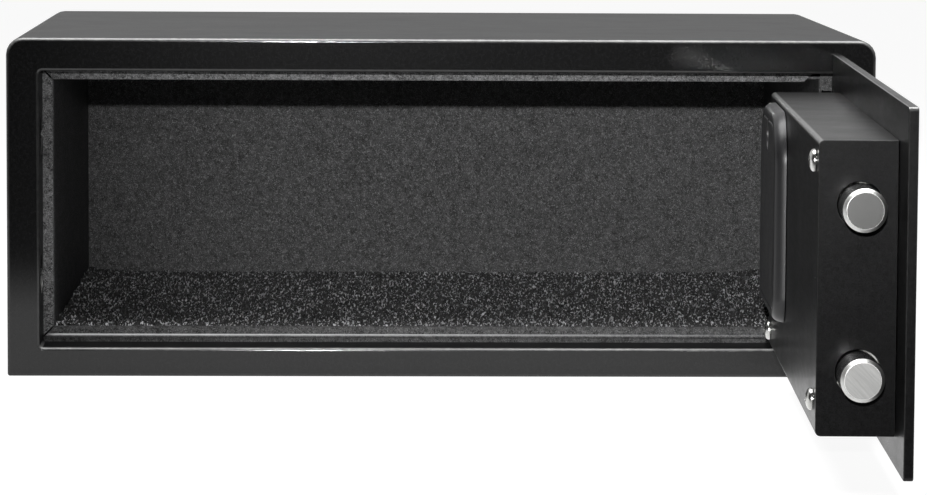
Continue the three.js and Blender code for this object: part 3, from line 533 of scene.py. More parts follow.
def wear_group():
    """Painted sheen on the rounded edges, strongest where they face up, and a broken mask of where those edges are
    worn.
    """
    group, given, result = new_group("Edge wear", {"Amount": 0.5}, ["Edge", "Mask"])
    place = own_place(group)
    round_off = add_node(group, "ShaderNodeAttribute", attribute_name="rounding").outputs["Fac"]
    normal = add_node(group, "ShaderNodeTexCoord").outputs["Normal"]
    rise = add_node(group, "ShaderNodeSeparateXYZ", {0: normal}).outputs["Z"]
    # Painted sheen: the rounding, strongest on edges that face up
    edge = maths(group, "MULTIPLY", round_off, remap(group, rise, 0.0, 0.5, 0.15, 1.0))
    broken = remap(group, noise(group, place, 260.0, 4.0, 0.65), 0.42, 0.68)
    uneven = remap(group, noise(group, place, 35.0), 0.3, 0.7, 0.75, 1.0)
    worn = maths(group, "MULTIPLY", maths(group, "MULTIPLY", edge, broken), given.outputs["Amount"])
    feed(group, result, Edge=maths(group, "MULTIPLY", edge, uneven), Mask=worn)
    return group


def handling_group():
    """Soft smudges from hands and cloths, as a mask about a half."""
    group, given, result = new_group("Handling", {"Size": 0.04}, ["Mask"])
    place = own_place(group)
    scale = maths(group, "DIVIDE", 1.0, given.outputs["Size"])
    clouds = noise(group, place, scale, 3.0, 0.55)
    wiped = add_node(group, "ShaderNodeMapping", {
        "Vector": place, "Scale": (1.0, 1.0, 7.0), "Rotation": (0.3, 0.2, 0.5)}).outputs["Vector"]
    lines = noise(group, wiped, maths(group, "MULTIPLY", scale, 3.0))
    feed(group, result, Mask=blend(group, clouds, 0.6, lines, 0.4))
    return group


def brushed_group():
    """Fine parallel lines across a cut end, in the piece's own coordinates."""
    group, given, result = new_group("Brushed lines", {"Turn": 0.6, "Pitch": 0.0002}, ["Lines"])
    place = own_place(group)
    turn = add_node(group, "ShaderNodeCombineXYZ", {"Y": given.outputs["Turn"]}).outputs[0]
    laid = add_node(
        group, "ShaderNodeMapping", {"Vector": place, "Rotation": turn}).outputs["Vector"]
    drawn = add_node(group, "ShaderNodeVectorMath", {0: laid, 1: (1.0, 1.0, 0.03)},
                     operation="MULTIPLY").outputs["Vector"]
    scale = maths(group, "DIVIDE", 1.0, given.outputs["Pitch"])
    fine = noise(group, drawn, scale, 4.0, 0.7)
    coarse = noise(group, drawn, maths(group, "MULTIPLY", scale, 0.22), 2.0, 0.6)
    feed(group, result, Lines=blend(group, fine, 0.55, coarse, 0.45))
    return group


GROUPS = {}


def effect(tree, name, **values):
    """Places a shared effect in a material, with its own values."""
    makers = {"grain": grain_group, "sheen_and_wear": wear_group, "handling": handling_group,
              "brushed": brushed_group}
    if name not in GROUPS:
        GROUPS[name] = makers[name]()
    return add_node(tree, "ShaderNodeGroup", values, node_tree=GROUPS[name]).outputs


def mix_colour(tree, share, first, second):
    links = {0: share, 6: first, 7: second}
    return add_node(tree, "ShaderNodeMix", links, data_type="RGBA").outputs[2]


def shaded(colour, share):
    """The colour made lighter or darker by a share, with its alpha."""
    return (*(min(channel * share, 1.0) for channel in colour[:3]), 1.0)


def tones(tree, share, colour, first, second):
    """A blend of two tones of one colour."""
    return mix_colour(tree, share, shaded(colour, first), shaded(colour, second))


def handled(tree, size, least, most):
    """A value between two bounds that smudges of a given size vary."""
    return remap(tree, effect(tree, "handling", Size=size)["Mask"], 0.3, 0.7, least, most)


def start_material(name, **sockets):
    material = bpy.data.materials.new(name)
    material.use_nodes = True
    tree = material.node_tree
    shader = tree.nodes["Principled BSDF"]
    for socket, value in sockets.items():
        shader.inputs[socket.replace("_", " ")].default_value = value
    return material, tree, shader


def bump(tree, shader, height, distance):
    links = {"Height": height, "Distance": distance, "Strength": 1.0}
    feed(tree, shader, Normal=add_node(tree, "ShaderNodeBump", links).outputs["Normal"])


# Finishes

PAINTED_SHEEN = (0.2, 0.2, 0.2, 1)  # Painted sheen: light tone of the rounded edges that stands in for their shine
BARE_STEEL = (0.3, 0.3, 0.29, 1)  # Where the coat is worn through


def powder_coat(name, colour, rough, **gloss):
    """Satin black coat with a fine grain, smudges, worn spots, and a painted sheen on its rounded edges."""
    material, tree, shader = start_material(name, IOR=1.5, **gloss)
    grain = effect(tree, "grain", Size=0.00055, Sharpness=0.35)
    sheen_and_wear = effect(tree, "sheen_and_wear")
    # Grain tops lighter and hollows darker: the grain's tone and painted shade
    base = tones(tree, grain["Tops"], colour, 0.1, 2.6)
    # Painted sheen on the rounded edges: a light tone and a metal shine
    with_sheen = mix_colour(tree, sheen_and_wear["Edge"], base, PAINTED_SHEEN)
    feed(tree, shader,
         Base_Color=mix_colour(tree, sheen_and_wear["Mask"], with_sheen, BARE_STEEL),
         Metallic=maths(tree, "MULTIPLY", sheen_and_wear["Edge"], 0.9),
         Roughness=handled(tree, 0.05, rough - 0.04, rough + 0.04))
    bump(tree, shader, grain["Height"], 0.00006)
    return material


def lining_coat(name, colour, size, glint_share, sheen_share=2.2):
    """Coarse dark coat with painted glints on the tops of its grains and a painted sheen on its rounded edges."""
    material, tree, shader = start_material(name, IOR=1.5, Specular_IOR_Level=0.4)
    grain = effect(tree, "grain", Size=size, Sharpness=0.3)
    fine = effect(tree, "grain", Size=size * 0.45, Sharpness=0.6)
    sheen_and_wear = effect(tree, "sheen_and_wear")
    # Grain tops lighter and hollows darker: the grain's tone and painted shade
    base = tones(tree, grain["Tops"], colour, 0.05, 2.1)
    # Painted glints on the tops of the fine grain
    grain_glints = mix_colour(tree, remap(tree, fine["Tops"], 0.4, 0.8), base, shaded(colour, glint_share))
    feed(tree, shader,
         # Painted sheen on the rounded edges
         Base_Color=mix_colour(tree, sheen_and_wear["Edge"], grain_glints, shaded(colour, sheen_share)),
         Roughness=handled(tree, 0.09, 0.46, 0.58))
    height = maths(tree, "ADD", grain["Height"], maths(tree, "MULTIPLY", fine["Height"], 0.5))
    bump(tree, shader, height, 0.0004)
    return material


def carpet_pile(colour):
    """Dark needled pile: random tufts near black as painted shade, a few very bright as painted glints."""
    material, tree, shader = start_material(
        "carpet pile", Roughness=0.9, Sheen_Weight=0.12, Sheen_Roughness=0.5)
    place = own_place(tree)
    fibre = noise(tree, place, 1100.0, 3.0, 0.8)
    tuft = add_node(tree, "ShaderNodeAttribute", attribute_name="fibre").outputs["Fac"]
    wide = noise(tree, place, 30.0)
    # Random tufts near black as painted shade; below, a few very bright as painted glints
    dark = tones(tree, remap(tree, tuft, 0.3, 0.65), colour, 0.02, 0.8)
    pile_glints = mix_colour(tree, remap(tree, tuft, 0.66, 0.74), dark, shaded(colour, 28.0))
    aged = mix_colour(tree, remap(tree, wide, 0.4, 0.7, 0.0, 0.25), pile_glints, shaded(colour, 0.6))
    feed(tree, shader, Base_Color=aged)
    bump(tree, shader, fibre, 0.0004)
    return material


def moulded(name, colour, rough, grain_size=0.0006):
    """Black moulding with a spark eroded grain."""
    material, tree, shader = start_material(name, IOR=1.48)
    grain = effect(tree, "grain", Size=grain_size, Sharpness=0.7)
    sheen_and_wear = effect(tree, "sheen_and_wear", Amount=0.25)
    base = tones(tree, grain["Tops"], colour, 0.9, 1.25)
    feed(tree, shader,
         Base_Color=mix_colour(tree, sheen_and_wear["Mask"], base, shaded(colour, 3.0)),
         Roughness=handled(tree, 0.03, rough - 0.05, rough + 0.06))
    bump(tree, shader, grain["Height"], 0.00003)
    return material


def bare_metal(name, colour, rough, turn=0.6, pitch=0.00025, depth=0.00002):
    """Metal with brushed lines that break up its shine."""
    material, tree, shader = start_material(name, Metallic=1.0)
    lines = effect(tree, "brushed", Turn=turn, Pitch=pitch)["Lines"]
    hands = effect(tree, "handling", Size=0.02)
    light = remap(tree, lines, 0.35, 0.65)
    spread = remap(tree, lines, 0.35, 0.65, rough - 0.05, rough + 0.07)
    smudges = remap(tree, hands["Mask"], 0.35, 0.7, -0.02, 0.08)
    feed(tree, shader,
         Base_Color=tones(tree, light, colour, 0.78, 1.12),
         Roughness=maths(tree, "ADD", spread, smudges))
    bump(tree, shader, lines, depth)
    return material


def bright_plate(name, colour, rough, stain=0.14):
    """Bright plating with faint stains and pits."""
    material, tree, shader = start_material(name, Metallic=1.0)
    hands = effect(tree, "handling", Size=0.006)
    grain = effect(tree, "grain", Size=0.0005, Sharpness=0.2)
    dull = remap(tree, hands["Mask"], 0.35, 0.7)
    feed(tree, shader,
         Base_Color=tones(tree, dull, colour, 1.05, 0.8),
         Roughness=remap(tree, hands["Mask"], 0.35, 0.7, rough, rough + stain))
    bump(tree, shader, grain["Height"], 0.00001)
    return material


def wound_coil():
    """Varnished copper wire, wound about the plunger."""
    material, tree, shader = start_material("wound coil", Metallic=0.9)
    place = own_place(tree)
    wave = {"Vector": place, "Scale": 700.0, "Distortion": 0.6, "Detail": 2.0}
    turns = add_node(tree, "ShaderNodeTexWave", wave, bands_direction="Z").outputs["Fac"]
    varnish = noise(tree, place, 200.0, 3.0)
    base = mix_colour(tree, turns, (0.10, 0.045, 0.02, 1), (0.5, 0.24, 0.1, 1))
    age = remap(tree, varnish, 0.4, 0.7, 0.0, 0.5)
    feed(tree, shader,
         Base_Color=mix_colour(tree, age, base, (0.25, 0.1, 0.05, 1)),
         Roughness=remap(tree, turns, 0.0, 1.0, 0.5, 0.25))
    bump(tree, shader, turns, 0.0001)
    return material


def solder_mask():
    """Green board with lighter copper runs under its mask."""
    material, tree, shader = start_material("solder mask", IOR=1.5)
    place = own_place(tree)
    cells = add_node(tree, "ShaderNodeTexBrick", {
        "Vector": place, "Scale": 160.0, "Mortar Size": 0.08, "Color1": (0.012, 0.06, 0.03, 1),
        "Color2": (0.014, 0.07, 0.034, 1), "Mortar": (0.03, 0.14, 0.06, 1)})
    stain = noise(tree, place, 90.0, 3.0)
    age = remap(tree, stain, 0.4, 0.7, 0.0, 0.4)
    feed(tree, shader,
         Base_Color=mix_colour(tree, age, cells.outputs["Color"], (0.01, 0.04, 0.02, 1)),
         Roughness=remap(tree, stain, 0.3, 0.7, 0.25, 0.4))
    bump(tree, shader, cells.outputs["Fac"], 0.00003)
    return material


def cell_sleeve():
    """Plain dark sleeve of a battery cell."""
    material, tree, shader = start_material("cell sleeve", Metallic=0.35)
    grain = effect(tree, "grain", Size=0.0007, Sharpness=0.4)
    feed(tree, shader,
         Base_Color=mix_colour(tree, grain["Tops"], (0.05, 0.05, 0.055, 1), (0.09, 0.09, 0.1, 1)),
         Roughness=handled(tree, 0.01, 0.22, 0.36))
    bump(tree, shader, grain["Height"], 0.00001)
    return material


def key_print(colour):
    """Pad printed ink, slightly worn."""
    material, tree, shader = start_material("key print", Roughness=0.5)
    place = own_place(tree)
    worn = noise(tree, place, 900.0, 4.0, 0.7)
    faded = remap(tree, worn, 0.55, 0.75)
    feed(tree, shader, Base_Color=tones(tree, faded, colour, 1.0, 0.45))
    bump(tree, shader, worn, 0.00002)
    return material


FINISHES = {}


def finish(name):
    """The named finish, made on its first use."""
    colours = bpy.context.scene.safe_colours
    # The strip colour darkened as painted shade, for the lower and right strips
    shaded_strips = shaded(colours.strips, 0.46)
    # The steel darkened as painted shade, for the sides of the bolts
    bolt_end, shaded_bolt_side = shaded(colours.steel, 0.56), shaded(colours.steel, 0.25)
    makers = {
        "coat": lambda: powder_coat(
            "powder coat", colours.coat, 0.62, Specular_IOR_Level=0.06,
            Coat_Weight=0.2, Coat_Roughness=0.09, Coat_IOR=2.4),
        "door coat": lambda: powder_coat(
            "door coat", colours.coat, 0.31, Specular_IOR_Level=0.09,
            Coat_Weight=0.05, Coat_Roughness=0.14),
        "lining": lambda: lining_coat("lining coat", colours.lining, 0.0012, 4.2),
        "strip": lambda: lining_coat("strip coat", colours.strips, 0.0013, 2.4),
        # Sill coat: painted shade in its colour and a strong painted sheen on its rounded edges
        "sill": lambda: lining_coat("sill coat", shaded_strips, 0.0013, 2.4, 9.0),
        "carpet": lambda: carpet_pile(colours.carpet),
        "plug": lambda: lining_coat("plug coat", colours.lining, 0.0012, 4.2),
        "lower bolt": lambda: bare_metal(
            "lower bolt steel", bolt_end, 0.4, 0.75, 0.0003, 0.00004),
        "upper bolt": lambda: bright_plate("upper bolt steel", bolt_end, 0.195, 0.02),
        "bolt ring": lambda: bright_plate("ground chamfer", (0.95, 0.95, 0.93), 0.34),
        "bolt side": lambda: bare_metal("bolt side in painted shade", shaded_bolt_side, 0.22, 0.0, 0.0004),
        "steel": lambda: bare_metal("turned steel", colours.steel, 0.3),
        "zinc": lambda: bare_metal("zinc plate", (0.48, 0.48, 0.46), 0.42, 1.2, 0.0006),
        "screw": lambda: bright_plate("screw plating", (0.62, 0.62, 0.6), 0.16),
        "moulding": lambda: moulded("moulding", colours.moulding, 0.42),
        "lid": lambda: moulded("lid moulding", colours.moulding, 0.36, 0.0004),
        "key": lambda: moulded("key moulding", (0.04, 0.04, 0.042), 0.5, 0.0004),
        "coil": wound_coil,
        "board": solder_mask,
        "cell": cell_sleeve,
        "print": lambda: key_print(colours.print),
    }
    if name not in FINISHES:
        FINISHES[name] = makers[name]()
    return FINISHES[name]


# Pieces

class SAFE_OT_steelwork(bpy.types.Operator):
    """Coated steel of the body and the door, with softened edges"""

    bl_idname = "safe.steelwork"
    bl_label = "Steelwork"

    def execute(self, context):
        width = context.scene.safe_sizes.sheet_round
        for node in ("outer_shell", "back_panel"):
            dress(node, finish("coat"), width)
        for node in ("door_plate", "lock_box_cover"):
            dress(node, finish("door coat"), width)
        for where in ("lower", "upper"):
            dress(f"hinge_knuckle_{where}", finish("coat"), width)
            dress(f"door_knuckle_{where}", finish("coat"), width)
            dress(f"hinge_pin_{where}", finish("steel"), width)
        return {"FINISHED"}


class SAFE_OT_lining(bpy.types.Operator):
    """Lining box, stop strips and anchor plugs"""

    bl_idname = "safe.lining"
    bl_label = "Lining and strips"

    def execute(self, context):
        width = context.scene.safe_sizes.sheet_round
        dress("inner_liner", finish("lining"), width)
        for where in ("top", "left"):
            dress(f"stop_strip_{where}", finish("strip"), width)
        # The right strip takes the darker sill coat: painted shade
        dress("stop_strip_right", finish("sill"), width)
        self.sill(width)
        for side in ("left", "right"):
            dress(f"anchor_plug_{side}", finish("plug"), 0)
        return {"FINISHED"}

    def sill(self, width):
        """The lower strip, with a bead along its face, which the sill finish lights with a painted sheen."""
        node = "stop_strip_bottom"
        bm = merged_copy(node)
        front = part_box("stop_strip_top")[0].y
        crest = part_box(node)[1].z - 4.7 * MM
        half, bulge_height, steps = 1.0 * MM, 0.9 * MM, 8
        for vertex in bm.verts:
            vertex.co.y = max(vertex.co.y, front)
        bmesh.ops.dissolve_degenerate(bm, dist=0.01 * MM, edges=bm.edges)
        bulge = {}
        for step in range(steps + 1):
            turn = math.pi * step / steps
            level = crest + half * math.cos(turn)
            bulge[round(level, 7)] = bulge_height * math.sin(turn)
            bmesh.ops.bisect_plane(
                bm, geom=bm.verts[:] + bm.edges[:] + bm.faces[:], dist=MERGE,
                plane_co=(0, 0, level), plane_no=(0, 0, 1))
        for vertex in bm.verts:
            if vertex.co.y < front + 0.01 * MM:
                vertex.co.y -= bulge.get(round(vertex.co.z, 7), 0)
        stand_in(node, bm, finish("sill"), width)


class SAFE_OT_carpet(bpy.types.Operator):
    """Carpet on the cavity floor, with its tufts standing at uneven heights"""

    bl_idname = "safe.carpet"
    bl_label = "Carpet"

    def execute(self, context):
        sizes = context.scene.safe_sizes
        low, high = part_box("floor_mat")
        size = high - low
        curl_reach = 26 * MM
        dice = random.Random(11)
        bm = bmesh.new()
        bmesh.ops.create_grid(
            bm, x_segments=round(size.x / sizes.pile_cell),
            y_segments=round(size.y / sizes.pile_row), size=0.5)
        bmesh.ops.scale(bm, vec=(size.x, size.y, 1), verts=bm.verts)
        shift(bm, ((low.x + high.x) / 2, (low.y + high.y) / 2, high.z))
        # A random value for each tuft that the carpet finish turns into painted shade and painted glints
        glint_and_shade = bm.verts.layers.float.new("fibre")
        for vertex in bm.verts:
            vertex[glint_and_shade] = dice.random()
            vertex.co.z -= sizes.pile_height * dice.random() ** 1.6
            from_wall = min(vertex.co.x - low.x, high.x - vertex.co.x)
            near_wall = max(0, 1 - from_wall / curl_reach)
            waves = 0.75 + 0.25 * math.sin(vertex.co.y * 190) + 0.2 * math.sin(vertex.co.y * 77 + 1)
            vertex.co.z += sizes.curl * near_wall ** 1.5 * waves
            if not vertex.is_boundary:
                vertex.co.x += sizes.pile_cell * dice.uniform(-0.35, 0.35)
                vertex.co.y += sizes.pile_row * dice.uniform(-0.35, 0.35)
        for item in bmesh.ops.extrude_edge_only(bm, edges=rim_of(bm))["geom"]:
            if isinstance(item, bmesh.types.BMVert):
                item.co.z = low.z
        close_rims(bm)
        carpet = add_piece("carpet", bm, "safe_body", finish("carpet"), ("floor_mat",))
        return {"FINISHED"}


class SAFE_OT_bolts(bpy.types.Operator):
    """Two turned bolts with a chamfered, brushed end"""

    bl_idname = "safe.bolts"
    bl_label = "Bolts"

    def execute(self, context):
        chamfer = context.scene.safe_sizes.bolt_chamfer
        for where in ("lower", "upper"):
            node = f"bolt_{where}"
            start, tip = across(node, FREE_WAY)
            radius = half_height(node)
            stem = radius * 0.39
            shoulder = 13 * MM
            length = tip - start
            soft = chamfer * 0.18
            profile = [(0, 0), (stem, 0), (stem, shoulder), (radius - soft, shoulder),
                       (radius, shoulder + soft), (radius, length - chamfer - soft),
                       (radius - soft * 0.4, length - chamfer),
                       (radius - chamfer + soft * 0.4, length - soft * 0.7),
                       (radius - chamfer - soft, length), (radius * 0.5, length), (0, length)]
            place = looking(UP, INWARD, FREE_WAY, on_axis(node, FREE_WAY, start))
            bolt = add_piece(
                f"{node}_turned", turned(profile, 96), "bolt_work", finish(f"{where} bolt"),
                (node,), place)
            # The bolt sides take the darkened steel as painted shade
            for extra in ("bolt side", "bolt ring"):
                bolt.data.materials.append(finish(extra))
            for face in bolt.data.polygons:
                lean = abs(face.normal.dot(FREE_WAY))
                face.material_index = 1 if lean < 0.3 else 2 if lean < 0.95 else 0
        for node in ("bolt_carrier", "bolt_guide"):
            dress(node, finish("zinc"), context.scene.safe_sizes.fine_round)
        return {"FINISHED"}


def pan_head(node, recess_width, recess_reach, dome):
    """A pan head screw with a cross recess, drawn up from the seat of its head."""
    bottom, top = across(node, INWARD)
    radius = half_height(node)
    seat = top - radius * 0.5
    head = radius * dome
    shank = radius * 0.44
    length = seat + head - bottom
    turns = [step * math.pi / 16 for step in range(9)]
    crown = [(radius * math.cos(turn), head * 0.25 + head * 0.75 * math.sin(turn))
             for turn in turns]
    profile = [(0, head - length), (shank, head - length), (shank, 0), (radius * 0.97, 0),
               (radius, head * 0.06)] + crown[:-1] + [(0, head)]
    cutter = cross_cutter(recess_reach, recess_width, head * 0.7, head)
    bm = carve(turned(profile, 48), cutter)
    return bm, inside_face(on_axis(node, INWARD, seat))


class SAFE_OT_screws(bpy.types.Operator):
    """Pan head screws of the cover and the lid, with cross recesses"""

    bl_idname = "safe.screws"
    bl_label = "Screws"

    def execute(self, context):
        width = context.scene.safe_sizes.recess_width
        full_radius = 4.7 * MM
        names = [f"cover_screw_{index}" for index in range(1, 5)] + ["lid_screw"]
        for index, node in enumerate(names):
            radius = half_height(node)
            share = radius / full_radius
            dome = 0.5 if node == "lid_screw" else 0.64
            bm, place = pan_head(node, width * share, radius * 0.62, dome)
            twist = Matrix.Rotation(0.4 + 0.9 * index, 4, "Z")
            add_piece(f"{node}_turned", bm, BODY_OF[node], finish("screw"), (node,),
                      place @ twist, 0.04 * MM)
        return {"FINISHED"}


class SAFE_OT_battery_lid(bpy.types.Operator):
    """Raised battery lid with its groove and the recess for its screw"""

    bl_idname = "safe.battery_lid"
    bl_label = "Battery lid"

    def execute(self, context):
        sizes = context.scene.safe_sizes
        start, end = across("battery_lid", FREE_WAY)
        seat, top = across("battery_lid", INWARD)
        low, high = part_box("battery_lid")
        low.z -= sizes.lid_drop
        width, height, rise = end - start, high.z - low.z, top - seat
        draft, wall, rim = 4 * MM, 2 * MM, 1.4 * MM
        sunk = 0.2 * MM  # Lets the hollow reach through the open side
        corner, foot = 23 * MM, 12 * MM
        recess_radius, recess_depth = 7.6 * MM, 2.6 * MM
        bm = rounded_plate(width, height, corner, 14, foot)
        face = raise_face(bm, bm.faces[:][0], 0.0)
        steps = 9
        for step in range(steps):
            a, b = (math.pi / 2 * k / steps for k in (step, step + 1))
            inset = draft * (math.cos(a) - math.cos(b))
            face = draw_in(bm, face, inset, rise * (math.sin(b) - math.sin(a)))
        groove = sizes.groove
        face = draw_in(bm, face, rim, 0)
        face = draw_in(bm, face, groove * 0.3, -groove * 0.55)
        face = draw_in(bm, face, groove * 0.4, 0)
        face = draw_in(bm, face, groove * 0.3, groove * 0.55)
        close_rims(bm)
        place = inside_face(Vector((0, 0, 0)))
        middle = (FREE_WAY * (start + end) + INWARD * 2 * seat + UP * (low.z + high.z)) / 2
        offset = centre("lid_screw") - middle
        aside, above = offset.dot(FREE_WAY), offset.dot(UP)
        hollow = rounded_plate(width - 2 * wall, height - 2 * wall, corner - wall, 10, foot - wall)
        raise_face(hollow, hollow.faces[:][0], rise - 2 * wall)
        close_rims(hollow)
        shift(hollow, (0, 0, -sunk))
        bm = carve(bm, hollow)
        floor, lip = rise - recess_depth, rise + wall
        recess = turned([(0, floor), (recess_radius, floor), (recess_radius, lip), (0, lip)], 64)
        shift(recess, (aside, above, 0))
        bm = carve(bm, recess)
        add_piece("battery_lid_moulded", bm, "lid", finish("lid"), ("battery_lid",),
                  Matrix.Translation(middle) @ place, 0.15 * MM)
        return {"FINISHED"}


class SAFE_OT_knob(bpy.types.Operator):
    """Knob with its grip and line, the rose behind it and its spindle"""

    bl_idname = "safe.knob"
    bl_label = "Knob"

    def execute(self, context):
        fine = context.scene.safe_sizes.fine_round
        for node in ("knob", "knob_rose"):
            dress(node, finish("moulding"), fine * 3)
        dress("knob_spindle", finish("zinc"), fine)
        top = across("knob", OUTWARD)[1]
        reach = half_height("knob")
        bm = rounded_plate(1.4 * MM, reach * 0.62, 0.65 * MM, 5)
        raise_face(bm, bm.faces[:][0], 0.12 * MM)
        close_rims(bm)
        middle = on_axis("knob", OUTWARD, top - PRINT_SINK)
        place = outside_face(middle + UP * reach * 0.4)
        add_piece("knob_line", bm, "knob_set", finish("print"), (), place)
        return {"FINISHED"}


class SAFE_OT_keypad(bpy.types.Operator):
    """Keypad housing and its keys, with plain numbers and signs"""

    bl_idname = "safe.keypad"
    bl_label = "Keypad"

    def execute(self, context):
        sizes = context.scene.safe_sizes
        dress("keypad_housing", finish("moulding"), sizes.fine_round * 2)
        signs = {**{str(digit): str(digit) for digit in range(10)}, "cancel": "*", "enter": "#"}
        for name, sign in signs.items():
            node = f"key_{name}"
            dress(node, finish("key"), 0)
            face = on_axis(node, OUTWARD, across(node, OUTWARD)[1] - PRINT_SINK)
            self.number(node, sign, face, sizes.number_height)
        return {"FINISHED"}

    def number(self, node, sign, face, height):
        """A thin raised print of one sign in the middle of its key."""
        curve = bpy.data.curves.new(f"{node}_sign", "FONT")
        curve.body = sign
        curve.size = height * 1.35
        curve.align_x = "CENTER"
        curve.offset = height * 0.02
        curve.extrude = 0.06 * MM
        text = new_object(f"{node}_sign", curve)
        seen = text.evaluated_get(bpy.context.evaluated_depsgraph_get())
        bm = bmesh.new()
        bm.from_mesh(seen.to_mesh())
        bpy.data.objects.remove(text)
        xs = [vertex.co.x for vertex in bm.verts]
        ys = [vertex.co.y for vertex in bm.verts]
        shift(bm, (-(min(xs) + max(xs)) / 2, -(min(ys) + max(ys)) / 2, 0))
        add_piece(f"{node}_number", bm, BODY_OF[node], finish("print"), (),
                  outside_face(face))


class SAFE_OT_emergency_lock(bpy.types.Operator):
    """Emergency key lock and the cap over it"""

    bl_idname = "safe.emergency_lock"
    bl_label = "Emergency lock"

    def execute(self, context):
        fine = context.scene.safe_sizes.fine_round
        dress("override_body", finish("zinc"), fine)
        dress("override_plug", finish("steel"), fine)
        dress("override_cap", finish("moulding"), fine * 2)
        return {"FINISHED"}


class SAFE_OT_works(bpy.types.Operator):
    """Solenoid, board, battery tray and cells inside the lock box"""

    bl_idname = "safe.works"
    bl_label = "Works inside the lock box"

    def execute(self, context):
        fine = context.scene.safe_sizes.fine_round
        for node, look in (("solenoid_body", "coil"), ("solenoid_plunger", "steel"),
                           ("circuit_board", "board"), ("battery_tray", "moulding")):
            dress(node, finish(look), fine)
        spring = dress("plunger_spring", finish("steel"), 0)
        foot = centre("plunger_spring")
        foot.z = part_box("solenoid_body")[1].z
        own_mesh(spring)
        for index in range(1, 5):
            dress(f"battery_cell_{index}", finish("cell"), fine)
        return {"FINISHED"}


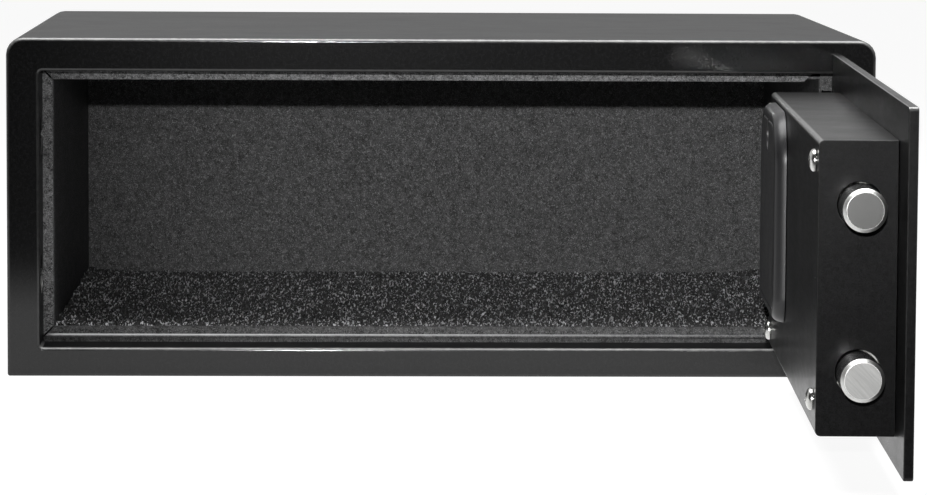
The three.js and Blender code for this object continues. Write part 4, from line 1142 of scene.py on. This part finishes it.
class SAFE_OT_stage(bpy.types.Operator):
    """Floor, camera, lights and background"""

    bl_idname = "safe.stage"
    bl_label = "Stage"
    key_place, key_target = (-0.09, -2.45, 0.41), (0.11, 0.12, 0.09)
    top_place, top_target = (0, -0.3, 1.3), (0, -0.3, 0)
    fade = 0.25  # Length over which the paper fades out
    paper, beyond = (0.2, 0.2, 0.2, 1), (0.05, 0.05, 0.05, 1)
    paper_glow, mirrored_white = 0.92, 0.68

    def execute(self, context):
        look = context.scene.safe_stage
        context.scene.view_settings.view_transform = "Standard"
        self.camera(context, look)
        self.floor(look)
        self.background(context, look)
        key = bpy.data.lights.new("key", "SPOT")
        key.spot_size = math.radians(18)
        key.spot_blend = 1
        key.shadow_soft_size = 0.012
        self.place_lamp(key, look.key_power, self.key_place, self.key_target)
        top = bpy.data.lights.new("top", "AREA")
        top.shape = "RECTANGLE"
        top.size = 1.3
        top.size_y = 1.0
        self.place_lamp(top, look.top_power, self.top_place, self.top_target)
        return {"FINISHED"}

    def camera(self, context, look):
        lens = bpy.data.cameras.new("camera")
        lens.lens = look.lens
        lens.sensor_width = 36
        lens.clip_end = 50
        camera = new_object("camera", lens)
        camera.location = (look.aside, -look.distance, look.height)
        turn = (Matrix.Rotation(-look.yaw, 3, "Z")
                @ Matrix.Rotation(math.pi / 2 - look.pitch, 3, "X")
                @ Matrix.Rotation(look.roll, 3, "Z"))
        camera.rotation_euler = turn.to_euler()
        context.scene.camera = camera

    def empty_tree(self, owner):
        owner.use_nodes = True
        owner.node_tree.nodes.clear()
        return owner.node_tree

    def rays(self, tree):
        """Whether the camera sees a point straight or through glass, and whether in a mirror."""
        path = add_node(tree, "ShaderNodeLightPath").outputs
        direct = maths(tree, "MAXIMUM", path["Is Camera Ray"], path["Is Transmission Ray"])
        return direct, path["Is Glossy Ray"]

    def floor(self, look):
        """White paper that ends a little way in front of the safe for light and for reflections."""
        bm = bmesh.new()
        bmesh.ops.create_grid(bm, x_segments=1, y_segments=1, size=12)
        shift(bm, (0, 0, CAD_BOX[0].z - 0.1 * MM))
        mesh = mesh_of("floor", bm)
        material = bpy.data.materials.new("floor paper")
        tree = self.empty_tree(material)
        place = own_place(tree)
        y = add_node(tree, "ShaderNodeSeparateXYZ", {0: place}).outputs["Y"]
        near = remap(tree, y, -look.paper_reach, -look.paper_reach + self.fade)
        direct, mirror = self.rays(tree)
        seen = maths(tree, "MAXIMUM", direct, maths(tree, "MULTIPLY", mirror, near))
        shown = maths(tree, "MAXIMUM", direct, near)
        tone = mix_colour(tree, shown, self.beyond, self.paper)
        paint = add_node(tree, "ShaderNodeBsdfDiffuse", {"Color": tone})
        glow = add_node(tree, "ShaderNodeEmission", {
            "Color": (1, 1, 1, 1), "Strength": maths(tree, "MULTIPLY", seen, self.paper_glow)})
        both = add_node(tree, "ShaderNodeAddShader", {0: paint.outputs[0], 1: glow.outputs[0]})
        add_node(tree, "ShaderNodeOutputMaterial", {"Surface": both.outputs[0]})
        mesh.materials.append(material)
        floor = new_object("floor", mesh)

    def background(self, context, look):
        """White all round to the eye, and a dark room in front of the safe for light."""
        world = bpy.data.worlds.new("studio")
        tree = self.empty_tree(world)
        way = add_node(tree, "ShaderNodeTexCoord").outputs["Generated"]
        y = add_node(tree, "ShaderNodeSeparateXYZ", {0: way}).outputs["Y"]
        behind = remap(tree, y, -0.1, 0.4)
        direct, mirror = self.rays(tree)
        mirrored = maths(
            tree, "MULTIPLY", mirror, maths(tree, "MULTIPLY", behind, self.mirrored_white))
        seen = maths(tree, "MAXIMUM", direct, mirrored)
        fill = remap(tree, behind, 0.0, 1.0, look.front_fill, look.fill)
        backdrop = add_node(tree, "ShaderNodeBackground", {
            "Color": (1, 1, 1, 1), "Strength": maths(tree, "MAXIMUM", seen, fill)})
        add_node(tree, "ShaderNodeOutputWorld", {"Surface": backdrop.outputs[0]})
        context.scene.world = world

    def place_lamp(self, light, power, place, target):
        light.energy = power
        lamp = new_object(light.name, light)
        lamp.location = place
        lamp.rotation_euler = (Vector(target) - Vector(place)).to_track_quat("-Z", "Y").to_euler()


class SAFE_PT_panel(bpy.types.Panel):
    """Lists the sizes, the colours and what can be built"""

    bl_idname = "SAFE_PT_panel"
    bl_label = "Under Desk Safe"
    bl_space_type = "VIEW_3D"
    bl_region_type = "UI"
    bl_category = "Safe"

    def draw(self, context):
        for group in SETTINGS:
            settings = getattr(context.scene, group)
            box = self.layout.box()
            for name in settings.bl_rna.properties.keys():
                if name not in ("rna_type", "name"):
                    box.prop(settings, name)
        for operator in OPERATORS:
            self.layout.operator(operator.bl_idname)


SETTINGS = {"safe_sizes": SafeSizes, "safe_colours": SafeColours, "safe_stage": SafeStage}
OPERATORS = (SAFE_OT_steelwork, SAFE_OT_lining, SAFE_OT_carpet, SAFE_OT_bolts, SAFE_OT_screws,
             SAFE_OT_battery_lid, SAFE_OT_knob, SAFE_OT_keypad, SAFE_OT_emergency_lock,
             SAFE_OT_works, SAFE_OT_stage)


def register():
    for name, settings in SETTINGS.items():
        bpy.utils.register_class(settings)
        setattr(bpy.types.Scene, name, PointerProperty(type=settings))
    for item in (*OPERATORS, SAFE_PT_panel):
        bpy.utils.register_class(item)


def unregister():
    for item in (*OPERATORS, SAFE_PT_panel):
        bpy.utils.unregister_class(item)
    for name, settings in SETTINGS.items():
        delattr(bpy.types.Scene, name)
        bpy.utils.unregister_class(settings)


def main():
    register()
    for operator in OPERATORS:
        getattr(bpy.ops.safe, operator.bl_idname.split(".")[1])()


if __name__ == "__main__":
    main()
